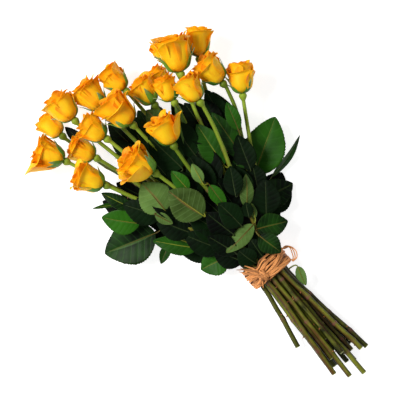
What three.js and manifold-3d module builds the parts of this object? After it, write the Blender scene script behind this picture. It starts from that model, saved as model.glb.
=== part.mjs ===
// A hand-tied bunch of twenty cut roses, lying on a flat surface.
//
// Frame: millimetres. +Y runs from the cut ends to the flowers, +X lies across the bunch and +Z points
// up from the surface it lies on. The shape is laid out from the middle of the raffia tie, and the
// finished group is moved so that the origin is the middle of the foot of its bounding box.
//
// Every rose is a stem with its hip, and a bloom. The stems pass the tie in four rows, one over the
// other, and keep that order above and below it, so no two of them cross. A leaf is one to four blades
// on stalks. It is lowered on to whatever lies under it, and its stalk reaches to the nearest stem.

import * as THREE from 'three';
import { mergeVertices } from 'three/addons/utils/BufferGeometryUtils.js';
import Module from 'manifold-3d';

const wasm = await Module();
wasm.setup();

// ---------------------------------------------------------------------------------------------------
// Driving dimensions
// ---------------------------------------------------------------------------------------------------
const REACH = 240; // tie to the middle of the flower heads
const TAIL = 176; // tie to the longest cut end
const BLOOM_WIDTH = 34; // across a bloom of size 1
const BLOOM_HEIGHT = 37; // foot to rim of a bloom of size 1
const STEM_DIAMETER = 5.6; // at the tie
const NECK_DIAMETER = 4.4; // just under the hip
const CUT_DIAMETER = 6.2; // at the cut end
const HIP_DIAMETER = 9.6;
const HIP_LENGTH = 9;
const BLADE_THICKNESS = 1.3; // of a leaf along its midrib
const STALK_DIAMETER = 2.2;
const RAFFIA_THICKNESS = 3.2;
const RAFFIA_BAND = 27; // width of the wrapped band along the stems
const LOOP_DIAMETER = 2.6; // of the slack loop and the loose ends of the raffia
const CLEARANCE = 0.35; // between pieces that touch
const STEM_GAP = 1.5; // between stems at the tie
const LEAF_GAP = 1.3; // under a leaf that lies on other pieces
const TIE_HEIGHT = 20; // middle of the tie above the surface

// The places below were drawn for these sizes, and spread with the real ones.
const DRAWN_REACH = 240;
const DRAWN_TAIL = 176;
const DRAWN_WIDTH = 34;
const DRAWN_HEIGHT = 37;
const DRAWN_PITCH = 7.1; // between the cut ends
const LOWEST_HEAD = 176;

const across = (x) => (x * BLOOM_WIDTH) / DRAWN_WIDTH;
const headAlong = (y) => REACH + ((y - DRAWN_REACH) * BLOOM_HEIGHT) / DRAWN_HEIGHT;
// Leaves keep their place between the tie and the lowest flower, and beside the flowers above it.
const leafAlong = (y) => (y > LOWEST_HEAD ? headAlong(y) : (y * headAlong(LOWEST_HEAD)) / LOWEST_HEAD);
const tailAlong = (y) => (y * TAIL) / DRAWN_TAIL;
const radians = THREE.MathUtils.degToRad;
const vec = (x, y, z) => new THREE.Vector3(x, y, z);
const UP = vec(0, 0, 1);

// ---------------------------------------------------------------------------------------------------
// Roses: foot of the bloom (x, y, z), turn of its axis to the right of +Y and rise above the surface in
// degrees, relative size, place of its stem in the tie (row from the bottom, column), and its cut end.
// ---------------------------------------------------------------------------------------------------
const ROSES = [
  { foot: [71, 268, 24], turn: 7, rise: 8, size: 0.8, slot: [0, 4], cut: [18, -140] },
  { foot: [70, 247, 66], turn: 23, rise: 14, size: 1.2, slot: [2, 3], cut: [8, -176] },
  { foot: [101, 249, 40], turn: 36, rise: 10, size: 0.95, slot: [1, 4], cut: [14, -146] },
  { foot: [100, 207, 60], turn: -3, rise: 12, size: 0.96, slot: [2, 4], cut: [31, -153] },
  { foot: [112, 181, 46], turn: 32, rise: 10, size: 0.97, slot: [1, 5], cut: [22, -135] },
  { foot: [64, 206, 80], turn: 3, rise: 10, size: 0.86, slot: [3, 3], cut: [24, -149] },
  { foot: [42, 227, 59], turn: 10, rise: 8, size: 0.82, slot: [2, 2], cut: [-3, -114] },
  { foot: [46, 247, 11.6], turn: 4, rise: 2, size: 0.8, slot: [0, 3], cut: [9, -160] },
  { foot: [22, 241, 46], turn: 3, rise: 8, size: 0.92, slot: [1, 3], cut: [6, -144] },
  { foot: [6, 277, 38], turn: -5, rise: 8, size: 0.9, slot: [0, 2], cut: [1, -155] },
  { foot: [-29, 278, 40], turn: -4, rise: 8, size: 1, slot: [1, 2], cut: [-2, -132] },
  { foot: [-14, 237, 72], turn: -6, rise: 14, size: 1.1, slot: [2, 1], cut: [-12, -137] },
  { foot: [-64, 288, 48], turn: -3, rise: 8, size: 1, slot: [1, 1], cut: [-15, -148] },
  { foot: [-90, 288, 11.6], turn: -9, rise: 2, size: 0.82, slot: [0, 1], cut: [-9, -150] },
  { foot: [-49, 245, 66], turn: -14, rise: 10, size: 0.9, slot: [2, 0], cut: [-20, -139] },
  { foot: [8, 187, 80], turn: 10, rise: 16, size: 0.94, slot: [3, 2], cut: [3, -138] },
  { foot: [-31, 176, 76], turn: -18, rise: 16, size: 1.05, slot: [3, 1], cut: [-8, -166] },
  { foot: [-105, 257, 50], turn: -25, rise: 10, size: 1, slot: [1, 0], cut: [-34, -101] },
  { foot: [-75, 238, 32], turn: -22, rise: 6, size: 0.88, slot: [0, 0], cut: [-16, -128] },
  { foot: [-86, 203, 66], turn: -29, rise: 12, size: 1, slot: [3, 0], cut: [-21, -152] },
];
const ROW_COUNTS = [5, 6, 5, 4];

// ---------------------------------------------------------------------------------------------------
// Leaves: each blade runs from its base to its tip in plan (x, y), with its width; side is 1 where the
// upper side faces up and -1 where the pale underside does; roll turns it about its midrib and rise
// lifts its tip. held is the least height that the stalk keeps the blades at, and 0 lays them flat on
// the surface; over names the roses whose stems pass over the leaf.
// ---------------------------------------------------------------------------------------------------
const LEAVES = [
  // dark leaves under the stems, lying on the surface
  { held: 0, over: [], blades: [
    { base: [-24, 50], tip: [-52, 106], width: 38, side: 1, roll: 0, rise: 0 },
    { base: [-12, 58], tip: [-15, 122], width: 27, side: 1, roll: 0, rise: 0 } ] },
  { held: 0, over: [], blades: [
    { base: [28, 50], tip: [48, 106], width: 36, side: 1, roll: 0, rise: 0 },
    { base: [13, 58], tip: [14, 122], width: 26, side: 1, roll: 0, rise: 0 } ] },
  { held: 0, over: [], blades: [
    { base: [-44, 118], tip: [-60, 172], width: 34, side: 1, roll: 0, rise: 0 },
    { base: [-21, 182], tip: [-38, 238], width: 38, side: 1, roll: 0, rise: 0 } ] },
  { held: 0, over: [], blades: [
    { base: [4, 136], tip: [2, 200], width: 40, side: 1, roll: 0, rise: 0 },
    { base: [34, 130], tip: [48, 192], width: 36, side: 1, roll: 0, rise: 0 } ] },
  // left side
  { held: 26, over: [], blades: [
    { base: [-78, 119], tip: [-142, 140], width: 54, side: 1, roll: 4, rise: -8 },
    { base: [-74, 98], tip: [-97, 86], width: 13, side: 1, roll: 0, rise: -6 } ] },
  { held: 44, over: [20], blades: [
    { base: [-84, 140], tip: [-114, 175], width: 32, side: 1, roll: -14, rise: 4 },
    { base: [-90, 174], tip: [-116, 190], width: 7, side: 1, roll: 40, rise: 4 },
    { base: [-79, 160], tip: [-95, 197], width: 17, side: 1, roll: 0, rise: 4 } ] },
  // right side
  { held: 14, over: [4, 5], blades: [
    { base: [47, 65], tip: [91, 57], width: 36, side: 1, roll: 0, rise: -8 },
    { base: [76, 80], tip: [135, 97], width: 14, side: 1, roll: 50, rise: 6 },
    { base: [61, 96], tip: [126, 134], width: 52, side: 1, roll: 0, rise: 4 } ] },
  { held: 30, over: [6], blades: [
    { base: [62, 118], tip: [68, 186], width: 26, side: 1, roll: 6, rise: 8 },
    { base: [39, 129], tip: [45, 187], width: 32, side: 1, roll: -6, rise: 8 },
    { base: [79, 150], tip: [89, 184], width: 18, side: 1, roll: 10, rise: 4 },
    { base: [63, 108], tip: [50, 125], width: 11, side: 1, roll: 0, rise: 6 } ] },
  // middle
  { held: 30, over: [16], blades: [
    { base: [17, 168], tip: [40, 221], width: 14, side: -1, roll: 35, rise: 8 },
    { base: [14, 196], tip: [10, 239], width: 32, side: -1, roll: 0, rise: 2 } ] },
  { held: 30, over: [], blades: [
    { base: [10, 121], tip: [8, 88], width: 17, side: 1, roll: 0, rise: -10 },
    { base: [5, 129], tip: [10, 154], width: 14, side: -1, roll: 10, rise: 6 } ] },
  { held: 30, over: [], blades: [
    { base: [-50, 131], tip: [-50, 175], width: 42, side: -1, roll: 6, rise: 6 },
    { base: [-62, 136], tip: [-53, 114], width: 13, side: -1, roll: 0, rise: -4 } ] },
  { held: 30, over: [], blades: [
    { base: [-13, 133], tip: [-14, 163], width: 18, side: 1, roll: 0, rise: 6 },
    { base: [-19, 98], tip: [-32, 147], width: 42, side: -1, roll: -4, rise: 10 } ] },
  { held: 30, over: [], blades: [
    { base: [27, 72], tip: [52, 104], width: 18, side: -1, roll: 20, rise: 8 } ] },
  // low on the bunch
  { held: 30, over: [], blades: [
    { base: [-50, 72], tip: [-86, 114], width: 24, side: 1, roll: -8, rise: 2 },
    { base: [-44, 72], tip: [-58, 112], width: 12, side: -1, roll: -30, rise: 8 },
    { base: [-60, 96], tip: [-66, 115], width: 9, side: -1, roll: 0, rise: 4 } ] },
  { held: 30, over: [], blades: [
    { base: [-29, 41], tip: [-64, 49], width: 34, side: 1, roll: 0, rise: -12 } ] },
  { held: 30, over: [], blades: [
    { base: [20, 51], tip: [-27, 46], width: 21, side: -1, roll: 0, rise: 2 },
    { base: [27, 56], tip: [35, 72], width: 8, side: -1, roll: 0, rise: 4 } ] },
  { held: 30, over: [], blades: [
    { base: [20, 44], tip: [55, 27], width: 30, side: 1, roll: 0, rise: -12 },
    { base: [17, 36], tip: [24, 4], width: 26, side: 1, roll: 0, rise: -2 } ] },
  // below the tie
  { held: 12, over: [], blades: [
    { base: [29, -24], tip: [22, -48], width: 13, side: -1, roll: 20, rise: 0 } ] },
];

// ---------------------------------------------------------------------------------------------------
// Closed bodies
// ---------------------------------------------------------------------------------------------------
function geometryOf(points, index) {
  const geometry = new THREE.BufferGeometry();
  geometry.setAttribute('position', new THREE.Float32BufferAttribute(points.flatMap((p) => p.toArray()), 3));
  geometry.setIndex(index);
  return geometry;
}

// A body through rings of points, closed by a pole at each end. The rings turn from side to up.
function loft(rings, startPole, endPole) {
  const sides = rings[0].length;
  const points = [startPole, ...rings.flat(), endPole];
  const at = (ring, side) => 1 + ring * sides + (side % sides);
  const lastRing = rings.length - 1;
  const index = [];
  for (let side = 0; side < sides; side++) {
    index.push(0, at(0, side), at(0, side + 1));
    index.push(points.length - 1, at(lastRing, side + 1), at(lastRing, side));
    for (let ring = 0; ring < lastRing; ring++) {
      index.push(at(ring, side), at(ring + 1, side + 1), at(ring, side + 1));
      index.push(at(ring, side), at(ring + 1, side), at(ring + 1, side + 1));
    }
  }
  return geometryOf(points, index);
}

// A ring of points about a centre, square to the tangent.
function ringAbout(centre, tangent, radius, sides, up = UP) {
  const side = vec(0, 0, 0).crossVectors(tangent, up).normalize();
  const top = vec(0, 0, 0).crossVectors(side, tangent).normalize();
  return Array.from({ length: sides }, (_, k) => {
    const angle = (2 * Math.PI * k) / sides;
    return centre.clone()
      .addScaledVector(side, radius * Math.cos(angle))
      .addScaledVector(top, radius * Math.sin(angle));
  });
}

function solidOf(geometry) {
  const bare = geometry.clone();
  bare.deleteAttribute('normal');
  bare.deleteAttribute('uv');
  const merged = mergeVertices(bare, 1e-4);
  return new wasm.Manifold(new wasm.Mesh({
    numProp: 3,
    vertProperties: new Float32Array(merged.attributes.position.array),
    triVerts: new Uint32Array(merged.index.array),
  }));
}

function joined(geometries) {
  if (geometries.length === 1) return geometries[0];
  const mesh = geometries.map(solidOf).reduce((whole, part) => whole.add(part)).getMesh();
  const geometry = new THREE.BufferGeometry();
  geometry.setAttribute('position', new THREE.BufferAttribute(new Float32Array(mesh.vertProperties), 3));
  geometry.setIndex(new THREE.BufferAttribute(new Uint32Array(mesh.triVerts), 1));
  return geometry;
}

const bunch = new THREE.Group();

function addPiece(name, geometry, colour, roughness) {
  geometry.computeVertexNormals();
  const material = new THREE.MeshStandardMaterial({ color: colour, roughness, metalness: 0 });
  const mesh = new THREE.Mesh(geometry, material);
  mesh.name = name;
  bunch.add(mesh);
  return mesh;
}

// ---------------------------------------------------------------------------------------------------
// Stems: a smooth curve from the cut end through the tie to the bloom, with the hip at its top
// ---------------------------------------------------------------------------------------------------
const STEM_SIDES = 7;
const SLOT_PITCH = STEM_DIAMETER + STEM_GAP;
const ROW_PITCH = SLOT_PITCH * Math.sin(Math.PI / 3);
const TAIL_SPREAD = 1.35; // how much farther apart the rows are at the cut ends
const NECK_LENGTH = 16; // the straight stretch under the bloom, hip included
const STEM_STATIONS = [0, 0.14, 0.26, 0.36, 0.46, 0.58, 0.7, 0.82, 0.92]; // parts of the way to the hip
const HIP_SHAPE = [
  [0, NECK_DIAMETER], [0.35, HIP_DIAMETER * 0.84], [0.7, HIP_DIAMETER], [1, HIP_DIAMETER * 0.72],
];
// How the stems fan out: part of the way from tie to neck, and the share of a straight fan reached there.
const FAN = [[0.12, 0.6], [0.5, 0.9]];

function slotPoint([row, column]) {
  const x = (column - (ROW_COUNTS[row] - 1) / 2) * SLOT_PITCH;
  const z = TIE_HEIGHT + (row - (ROW_COUNTS.length - 1) / 2) * ROW_PITCH;
  return vec(x, 0, z);
}

function roseLayout(rose) {
  const turn = radians(rose.turn);
  const rise = radians(rose.rise);
  const axis = vec(Math.sin(turn) * Math.cos(rise), Math.cos(turn) * Math.cos(rise), Math.sin(rise));
  const foot = vec(across(rose.foot[0]), headAlong(rose.foot[1]), across(rose.foot[2]));
  const slot = slotPoint(rose.slot);
  const cutHeight = TIE_HEIGHT + (slot.z - TIE_HEIGHT) * TAIL_SPREAD;
  const cut = vec((rose.cut[0] * SLOT_PITCH) / DRAWN_PITCH, tailAlong(rose.cut[1]), cutHeight);
  const neck = foot.clone().addScaledVector(axis, -NECK_LENGTH);
  const waypoints = FAN.map(([part, lateral]) => vec(
    THREE.MathUtils.lerp(slot.x, neck.x, part * lateral),
    THREE.MathUtils.lerp(slot.y, neck.y, part),
    THREE.MathUtils.lerp(slot.z, neck.z, part * lateral)));
  const curve = new THREE.CatmullRomCurve3([cut, slot, ...waypoints, neck, foot], false, 'centripetal');
  const layout = { axis, foot, curve, size: rose.size };
  return { ...layout, stations: stemStations(layout) };
}

const layouts = ROSES.map(roseLayout);

// The sections of a stem from its cut end to its neck, and then of its hip.
function stemStations({ curve, axis, foot }) {
  const length = curve.getLength();
  const hipStart = length - HIP_LENGTH;
  const body = STEM_STATIONS.map((part) => {
    const distance = part * hipStart;
    const below = THREE.MathUtils.clamp(distance / TAIL, 0, 1);
    const above = THREE.MathUtils.clamp((distance - TAIL) / (hipStart - TAIL), 0, 1);
    const atTie = THREE.MathUtils.lerp(CUT_DIAMETER, STEM_DIAMETER, below);
    const t = distance / length;
    return {
      centre: curve.getPointAt(t),
      tangent: curve.getTangentAt(t),
      radius: THREE.MathUtils.lerp(atTie, NECK_DIAMETER, above) / 2,
    };
  });
  const hip = HIP_SHAPE.map(([part, diameter]) => ({
    centre: foot.clone().addScaledVector(axis, (part - 1) * HIP_LENGTH - CLEARANCE),
    tangent: axis,
    radius: diameter / 2,
  }));
  return [...body, ...hip];
}

function stemGeometry({ stations, axis, foot }) {
  const rings = stations.map(({ centre, tangent, radius }) => ringAbout(centre, tangent, radius, STEM_SIDES));
  const topPole = foot.clone().addScaledVector(axis, -CLEARANCE);
  return loft(rings, stations[0].centre.clone(), topPole);
}

// ---------------------------------------------------------------------------------------------------
// Blooms: a half-open cup, narrow at its foot, with a lobed rim and a dip in the middle
// ---------------------------------------------------------------------------------------------------
const BLOOM_SIDES = 10;
const CUP = [[0.02, 0.26], [0.09, 0.6], [0.24, 0.84], [0.5, 0.93], [0.78, 0.97], [0.96, 1], [0.98, 0.8], [0.9, 0.45]];
const CUP_DIP = 0.86;
const RIM_LOBE = 0.05;

function bloomGeometry({ axis, foot, size }) {
  const height = BLOOM_HEIGHT * size;
  const radius = (BLOOM_WIDTH * size) / 2;
  const rings = CUP.map(([part, spread]) => {
    const centre = foot.clone().addScaledVector(axis, part * height);
    return ringAbout(centre, axis, radius * spread, BLOOM_SIDES).map((point, k) => {
      const lobe = 1 - RIM_LOBE * part * (1 - Math.cos((6 * Math.PI * k) / BLOOM_SIDES));
      return centre.clone().lerp(point, lobe);
    });
  });
  return loft(rings, foot.clone(), foot.clone().addScaledVector(axis, CUP_DIP * height));
}

layouts.forEach((layout, i) => {
  const number = String(i + 1).padStart(2, '0');
  layout.stem = addPiece(`rose_${number}_stem`, stemGeometry(layout), 0x5a781e, 0.55);
  layout.bloom = addPiece(`rose_${number}_bloom`, bloomGeometry(layout), 0xffc81e, 0.6);
});

// ---------------------------------------------------------------------------------------------------
// Raffia: a band wrapped round the waist of the bundle, a knot with two loose ends, and a slack loop
// ---------------------------------------------------------------------------------------------------
const BAND_SIDES = 18;
const BAND_SHAPE = 1.5; // width of the band over its height
const RIM_POINTS = 18; // tried round each stem that the band goes round
const EDGE_PART = 0.7; // thickness of the band's edges over its middle
const BAND_STATIONS = 5;

// The half width and half height of an upright oval that holds all the stems at one place along them.
function ovalAt(y) {
  const rims = layouts.flatMap(({ stations }) => {
    const next = stations.findIndex(({ centre }) => centre.y >= y);
    const [from, to] = [stations[next - 1], stations[next]];
    const part = (y - from.centre.y) / (to.centre.y - from.centre.y);
    const centre = from.centre.clone().lerp(to.centre, part);
    const lean = (to.centre.y - from.centre.y) / to.centre.distanceTo(from.centre);
    const reach = Math.max(from.radius, to.radius) / lean + CLEARANCE;
    return Array.from({ length: RIM_POINTS }, (_, k) => {
      const angle = (2 * Math.PI * k) / RIM_POINTS;
      const x = centre.x + reach * Math.cos(angle);
      const z = centre.z - TIE_HEIGHT + reach * Math.sin(angle);
      return Math.hypot(x / BAND_SHAPE, z);
    });
  });
  const height = Math.max(...rims) / Math.cos(Math.PI / BAND_SIDES);
  return { width: height * BAND_SHAPE, height };
}

function bandGeometry() {
  const points = [];
  const index = [];
  const stations = Array.from({ length: BAND_STATIONS }, (_, k) => {
    const y = (k / (BAND_STATIONS - 1) - 0.5) * RAFFIA_BAND;
    const atEdge = k === 0 || k === BAND_STATIONS - 1;
    return { y, oval: ovalAt(y), thickness: RAFFIA_THICKNESS * (atEdge ? EDGE_PART : 1) };
  });
  const section = [
    ...stations.map(({ y, oval, thickness }) => ({ y, oval, extra: thickness })),
    ...stations.map(({ y, oval }) => ({ y, oval, extra: 0 })).reverse(),
  ];
  for (let k = 0; k < BAND_SIDES; k++) {
    const angle = (2 * Math.PI * k) / BAND_SIDES;
    for (const { y, oval, extra } of section) {
      const x = (oval.width + extra) * Math.cos(angle);
      const z = TIE_HEIGHT + (oval.height + extra) * Math.sin(angle);
      points.push(vec(x, y, z));
    }
  }
  const count = section.length;
  const at = (k, s) => (k % BAND_SIDES) * count + (s % count);
  for (let k = 0; k < BAND_SIDES; k++) {
    for (let s = 0; s < count; s++) {
      index.push(at(k, s), at(k + 1, s + 1), at(k + 1, s));
      index.push(at(k, s), at(k, s + 1), at(k + 1, s + 1));
    }
  }
  return geometryOf(points, index);
}

function strandGeometry(points) {
  const curve = new THREE.CatmullRomCurve3(points, false, 'centripetal');
  const steps = 5 * (points.length - 1);
  const rings = Array.from({ length: steps }, (_, k) => {
    const t = k / (steps - 1);
    return ringAbout(curve.getPointAt(t), curve.getTangentAt(t), LOOP_DIAMETER / 2, 6);
  });
  return loft(rings, points[0].clone(), points[points.length - 1].clone());
}

const waist = ovalAt(0);
const bandTop = TIE_HEIGHT + waist.height + RAFFIA_THICKNESS;
const bandSide = waist.width + RAFFIA_THICKNESS;
const KNOT_WIDTH = 17; // across the bunch
const KNOT_LENGTH = 14.3; // along the stems
const KNOT_HEIGHT = 7;
const KNOT_PLACE = { x: -10, y: -4 };
const LOOP_REACH = 9; // how far the slack loop stands off the side of the band
const BAND_FLARE = 2; // how much the band grows from its middle to its edges

// A place on the top half of the band, some way above its surface.
function overBand(x, y, above) {
  const part = Math.sqrt(Math.max(0, 1 - (x / bandSide) ** 2));
  return vec(x, y, TIE_HEIGHT + (bandTop - TIE_HEIGHT) * part + above);
}

function knotGeometry() {
  const lump = new THREE.SphereGeometry(1, 12, 8);
  lump.rotateX(Math.PI / 2);
  lump.scale(KNOT_WIDTH / 2, KNOT_LENGTH / 2, KNOT_HEIGHT / 2);
  lump.translate(KNOT_PLACE.x, KNOT_PLACE.y, bandTop + KNOT_HEIGHT / 2 + CLEARANCE);
  const start = overBand(KNOT_PLACE.x, KNOT_PLACE.y, KNOT_HEIGHT / 2);
  const lift = LOOP_DIAMETER + BAND_FLARE;
  const upper = strandGeometry([start, overBand(-18, 8, lift), overBand(-25, 20, lift + 6)]);
  const lower = strandGeometry([start, overBand(-18, -10, lift), overBand(-24, -14, lift + 6)]);
  const slack = strandGeometry([
    start, overBand(6, -3, lift), overBand(16, -2, lift), overBand(bandSide * 0.9, 1, lift + 3),
    vec(bandSide + LOOP_REACH, -2, TIE_HEIGHT + 6), vec(bandSide + LOOP_REACH * 0.7, -10, TIE_HEIGHT + 5),
    vec(bandSide + BAND_FLARE + LOOP_DIAMETER / 2 + CLEARANCE, -12, TIE_HEIGHT + 4),
  ]);
  return joined([lump, upper, lower, slack]);
}

const band = addPiece('raffia_band', bandGeometry(), 0xc8824a, 0.8);
const knot = addPiece('raffia_knot', knotGeometry(), 0xd89a5c, 0.8);

// ---------------------------------------------------------------------------------------------------
// Leaves
// ---------------------------------------------------------------------------------------------------
const FOLD = 0.16; // how far the edges stand over the midrib, per unit of half width
const FLAT_FOLD = 0.05; // the same for a leaf pressed on the surface
const ARCH = 0.05; // bow of the midrib, per unit of length
const BLADE_STATIONS = [0.03, 0.12, 0.26, 0.42, 0.58, 0.74, 0.88];
const CELL = 1.5; // of the height map that leaves are lowered on to
const CELL_MARGIN = 0.15; // how far past a triangle's edge a cell still counts as covered
const STALK_OFFSET = 6; // back from the blade's base, where its stalk looks for a stem
const FORK = 0.4; // part of the first stalk at which the others leave it

const outline = (s) => Math.sin(Math.PI * s ** 0.8) ** 0.75;

// The blade's frame: base, direction, upper normal and sideways vector.
function bladeFrame(blade, baseHeight) {
  const base = vec(across(blade.base[0]), leafAlong(blade.base[1]), baseHeight);
  const tip = vec(across(blade.tip[0]), leafAlong(blade.tip[1]), baseHeight);
  tip.z += Math.tan(radians(blade.rise)) * base.distanceTo(tip);
  const along = tip.clone().sub(base);
  const length = along.length();
  const direction = along.clone().normalize();
  const level = vec(0, 0, 0).crossVectors(direction, UP).normalize();
  const normal = vec(0, 0, 0).crossVectors(level, direction)
    .applyAxisAngle(direction, radians(blade.roll)).multiplyScalar(blade.side);
  const sideways = vec(0, 0, 0).crossVectors(direction, normal);
  return { base, tip, length, direction, normal, sideways };
}

function bladeRings(blade, frame, flat) {
  const fold = flat ? FLAT_FOLD : FOLD;
  const arch = flat ? 0 : ARCH * blade.side;
  return BLADE_STATIONS.map((s) => {
    const bow = arch * frame.length * 4 * s * (1 - s);
    const centre = frame.base.clone()
      .addScaledVector(frame.direction, s * frame.length)
      .addScaledVector(frame.normal, bow);
    const half = Math.max((blade.width / 2) * (BLOOM_WIDTH / DRAWN_WIDTH) * outline(s), STALK_DIAMETER / 2);
    const edge = (sign) => centre.clone()
      .addScaledVector(frame.sideways, sign * half)
      .addScaledVector(frame.normal, fold * half);
    const face = (sign) => centre.clone().addScaledVector(frame.normal, (sign * BLADE_THICKNESS) / 2);
    return [edge(1), face(1), edge(-1), face(-1)];
  });
}

// The stalk's path from its far end to the blade, bending into the blade's direction.
function stalkCurve(end, frame) {
  const bend = Math.min(frame.length * 0.2, end.distanceTo(frame.base) * 0.5);
  const elbow = frame.base.clone().addScaledVector(frame.direction, -bend);
  return new THREE.QuadraticBezierCurve3(end, elbow, frame.base);
}

function bladeGeometry(blade, frame, end, flat) {
  const curve = stalkCurve(end, frame);
  const stalk = [0, 0.33, 0.66, 0.94].map((t) =>
    ringAbout(curve.getPoint(t), curve.getTangent(t), STALK_DIAMETER / 2, 4, frame.normal));
  return loft([...stalk, ...bladeRings(blade, frame, flat)], end.clone(), frame.tip.clone());
}

// Height map of what lies under the leaves. Each cell keeps the highest top that covers it.
class HeightMap {
  constructor() {
    this.tops = new Map();
  }

  // Calls back with each cell that the triangles of a geometry cover, and the height there.
  static cover(geometry, visit) {
    const position = geometry.attributes.position;
    const index = geometry.index;
    const corner = (i) => vec(position.getX(i), position.getY(i), position.getZ(i));
    for (let t = 0; t < index.count; t += 3) {
      const [a, b, c] = [0, 1, 2].map((k) => corner(index.getX(t + k)));
      const area = (b.x - a.x) * (c.y - a.y) - (c.x - a.x) * (b.y - a.y);
      if (Math.abs(area) < 1e-6) continue;
      const low = (p, q, r) => Math.floor(Math.min(p, q, r) / CELL);
      const high = (p, q, r) => Math.ceil(Math.max(p, q, r) / CELL);
      for (let i = low(a.x, b.x, c.x); i <= high(a.x, b.x, c.x); i++) {
        for (let j = low(a.y, b.y, c.y); j <= high(a.y, b.y, c.y); j++) {
          const [x, y] = [i * CELL, j * CELL];
          const u = ((b.x - x) * (c.y - y) - (c.x - x) * (b.y - y)) / area;
          const v = ((c.x - x) * (a.y - y) - (a.x - x) * (c.y - y)) / area;
          const w = 1 - u - v;
          if (Math.min(u, v, w) < -CELL_MARGIN) continue;
          visit(`${i},${j}`, u * a.z + v * b.z + w * c.z);
        }
      }
    }
  }

  add(geometry) {
    HeightMap.cover(geometry, (cell, z) => this.tops.set(cell, Math.max(z, this.tops.get(cell) ?? 0)));
  }

  // How far a geometry has to rise to lie clear on top of the map.
  liftFor(geometry) {
    let lift = -Infinity;
    HeightMap.cover(geometry, (cell, z) => {
      lift = Math.max(lift, (this.tops.get(cell) ?? 0) - z);
    });
    return lift + LEAF_GAP;
  }
}

// The nearest place on any stem for a stalk to spring from, a little back towards the cut end.
const STEM_SAMPLES = 120;
const stemSamples = layouts.flatMap(({ curve }) =>
  curve.getSpacedPoints(STEM_SAMPLES).slice(1, STEM_SAMPLES - 9).map((point, k) => ({
    point,
    tangent: curve.getTangentAt((k + 1) / STEM_SAMPLES),
  })));

function stalkFoot(frame) {
  const wanted = frame.base.clone().addScaledVector(frame.direction, -STALK_OFFSET);
  const distance = (sample) => sample.point.distanceTo(wanted);
  const nearest = stemSamples.reduce((a, b) => (distance(b) < distance(a) ? b : a));
  const outward = wanted.clone().sub(nearest.point);
  outward.addScaledVector(nearest.tangent, -outward.dot(nearest.tangent)).normalize();
  const reach = CUT_DIAMETER / 2 + STALK_DIAMETER / 2 + CLEARANCE;
  return nearest.point.clone().addScaledVector(outward, reach);
}

const laid = [];

function leafGeometry(leaf) {
  const flat = leaf.held === 0;
  const map = new HeightMap();
  if (!flat) {
    const under = layouts.filter((_, i) => !leaf.over.includes(i + 1)).map(({ stem }) => stem.geometry);
    for (const geometry of [...under, band.geometry, knot.geometry, ...laid]) map.add(geometry);
  }
  const frames = leaf.blades.map((blade) => {
    if (flat) return bladeFrame(blade, BLADE_THICKNESS / 2);
    const level = bladeFrame(blade, 0);
    const bare = loft(bladeRings(blade, level, flat), level.base.clone(), level.tip.clone());
    const height = Math.max(map.liftFor(bare), leaf.held);
    bare.translate(0, 0, height);
    map.add(bare);
    return bladeFrame(blade, height);
  });
  const foot = stalkFoot(frames[0]);
  const fork = stalkCurve(foot, frames[0]).getPoint(FORK);
  const blades = leaf.blades.map((blade, k) => bladeGeometry(blade, frames[k], k ? fork : foot, flat));
  const geometry = joined(blades);
  laid.push(geometry);
  return geometry;
}

LEAVES.forEach((leaf, i) => {
  const number = String(i + 1).padStart(2, '0');
  const colour = leaf.blades[0].side > 0 ? 0x2d6e14 : 0x7da05a;
  addPiece(`leaf_${number}`, leafGeometry(leaf), colour, 0.5);
});

// ---------------------------------------------------------------------------------------------------
// The origin goes to the middle of the foot of the bounding box
// ---------------------------------------------------------------------------------------------------
const box = new THREE.Box3().setFromObject(bunch);
const centre = box.getCenter(vec(0, 0, 0));
bunch.position.set(-centre.x, -centre.y, -box.min.z);

export default bunch;
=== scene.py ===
"""The looks of a hand-tied bunch of twenty yellow roses that lies on its side.

Every place comes from the fixed frame. The stems, blooms and leaflets are read from the rings of its
bodies, and the detailed pieces are made along the same lines. Metres, +Y towards the flowers, +Z up.
"""
import math
import bmesh
import bpy
import numpy as np
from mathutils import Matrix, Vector


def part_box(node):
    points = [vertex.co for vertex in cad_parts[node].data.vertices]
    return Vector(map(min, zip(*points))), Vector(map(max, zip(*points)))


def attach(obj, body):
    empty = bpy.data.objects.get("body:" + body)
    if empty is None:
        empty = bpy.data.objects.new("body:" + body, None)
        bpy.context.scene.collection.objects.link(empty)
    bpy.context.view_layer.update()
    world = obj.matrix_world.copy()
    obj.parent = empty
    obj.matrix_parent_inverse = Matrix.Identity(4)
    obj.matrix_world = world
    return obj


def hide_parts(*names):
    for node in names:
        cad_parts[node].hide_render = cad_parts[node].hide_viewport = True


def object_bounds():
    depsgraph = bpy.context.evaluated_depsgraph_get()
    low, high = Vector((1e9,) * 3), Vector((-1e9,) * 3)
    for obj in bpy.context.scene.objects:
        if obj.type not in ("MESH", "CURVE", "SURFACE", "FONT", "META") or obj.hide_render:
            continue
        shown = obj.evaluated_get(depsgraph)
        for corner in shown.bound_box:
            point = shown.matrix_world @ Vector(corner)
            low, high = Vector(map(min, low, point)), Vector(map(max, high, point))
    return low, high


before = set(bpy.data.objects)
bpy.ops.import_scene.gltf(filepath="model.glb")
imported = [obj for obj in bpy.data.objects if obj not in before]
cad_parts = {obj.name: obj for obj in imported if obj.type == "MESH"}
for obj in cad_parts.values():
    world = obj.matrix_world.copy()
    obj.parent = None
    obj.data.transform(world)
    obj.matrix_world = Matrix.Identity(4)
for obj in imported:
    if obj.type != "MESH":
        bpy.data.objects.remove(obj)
cad_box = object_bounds()
MM = 0.001

# ------------------------------------------------------------------------------------------------------
# Camera: it looks straight down on the bunch, turned so that the stems run to the lower right.
# ------------------------------------------------------------------------------------------------------
band_low, band_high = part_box("raffia_band")
tie = np.array((band_low + band_high) / 2)

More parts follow.
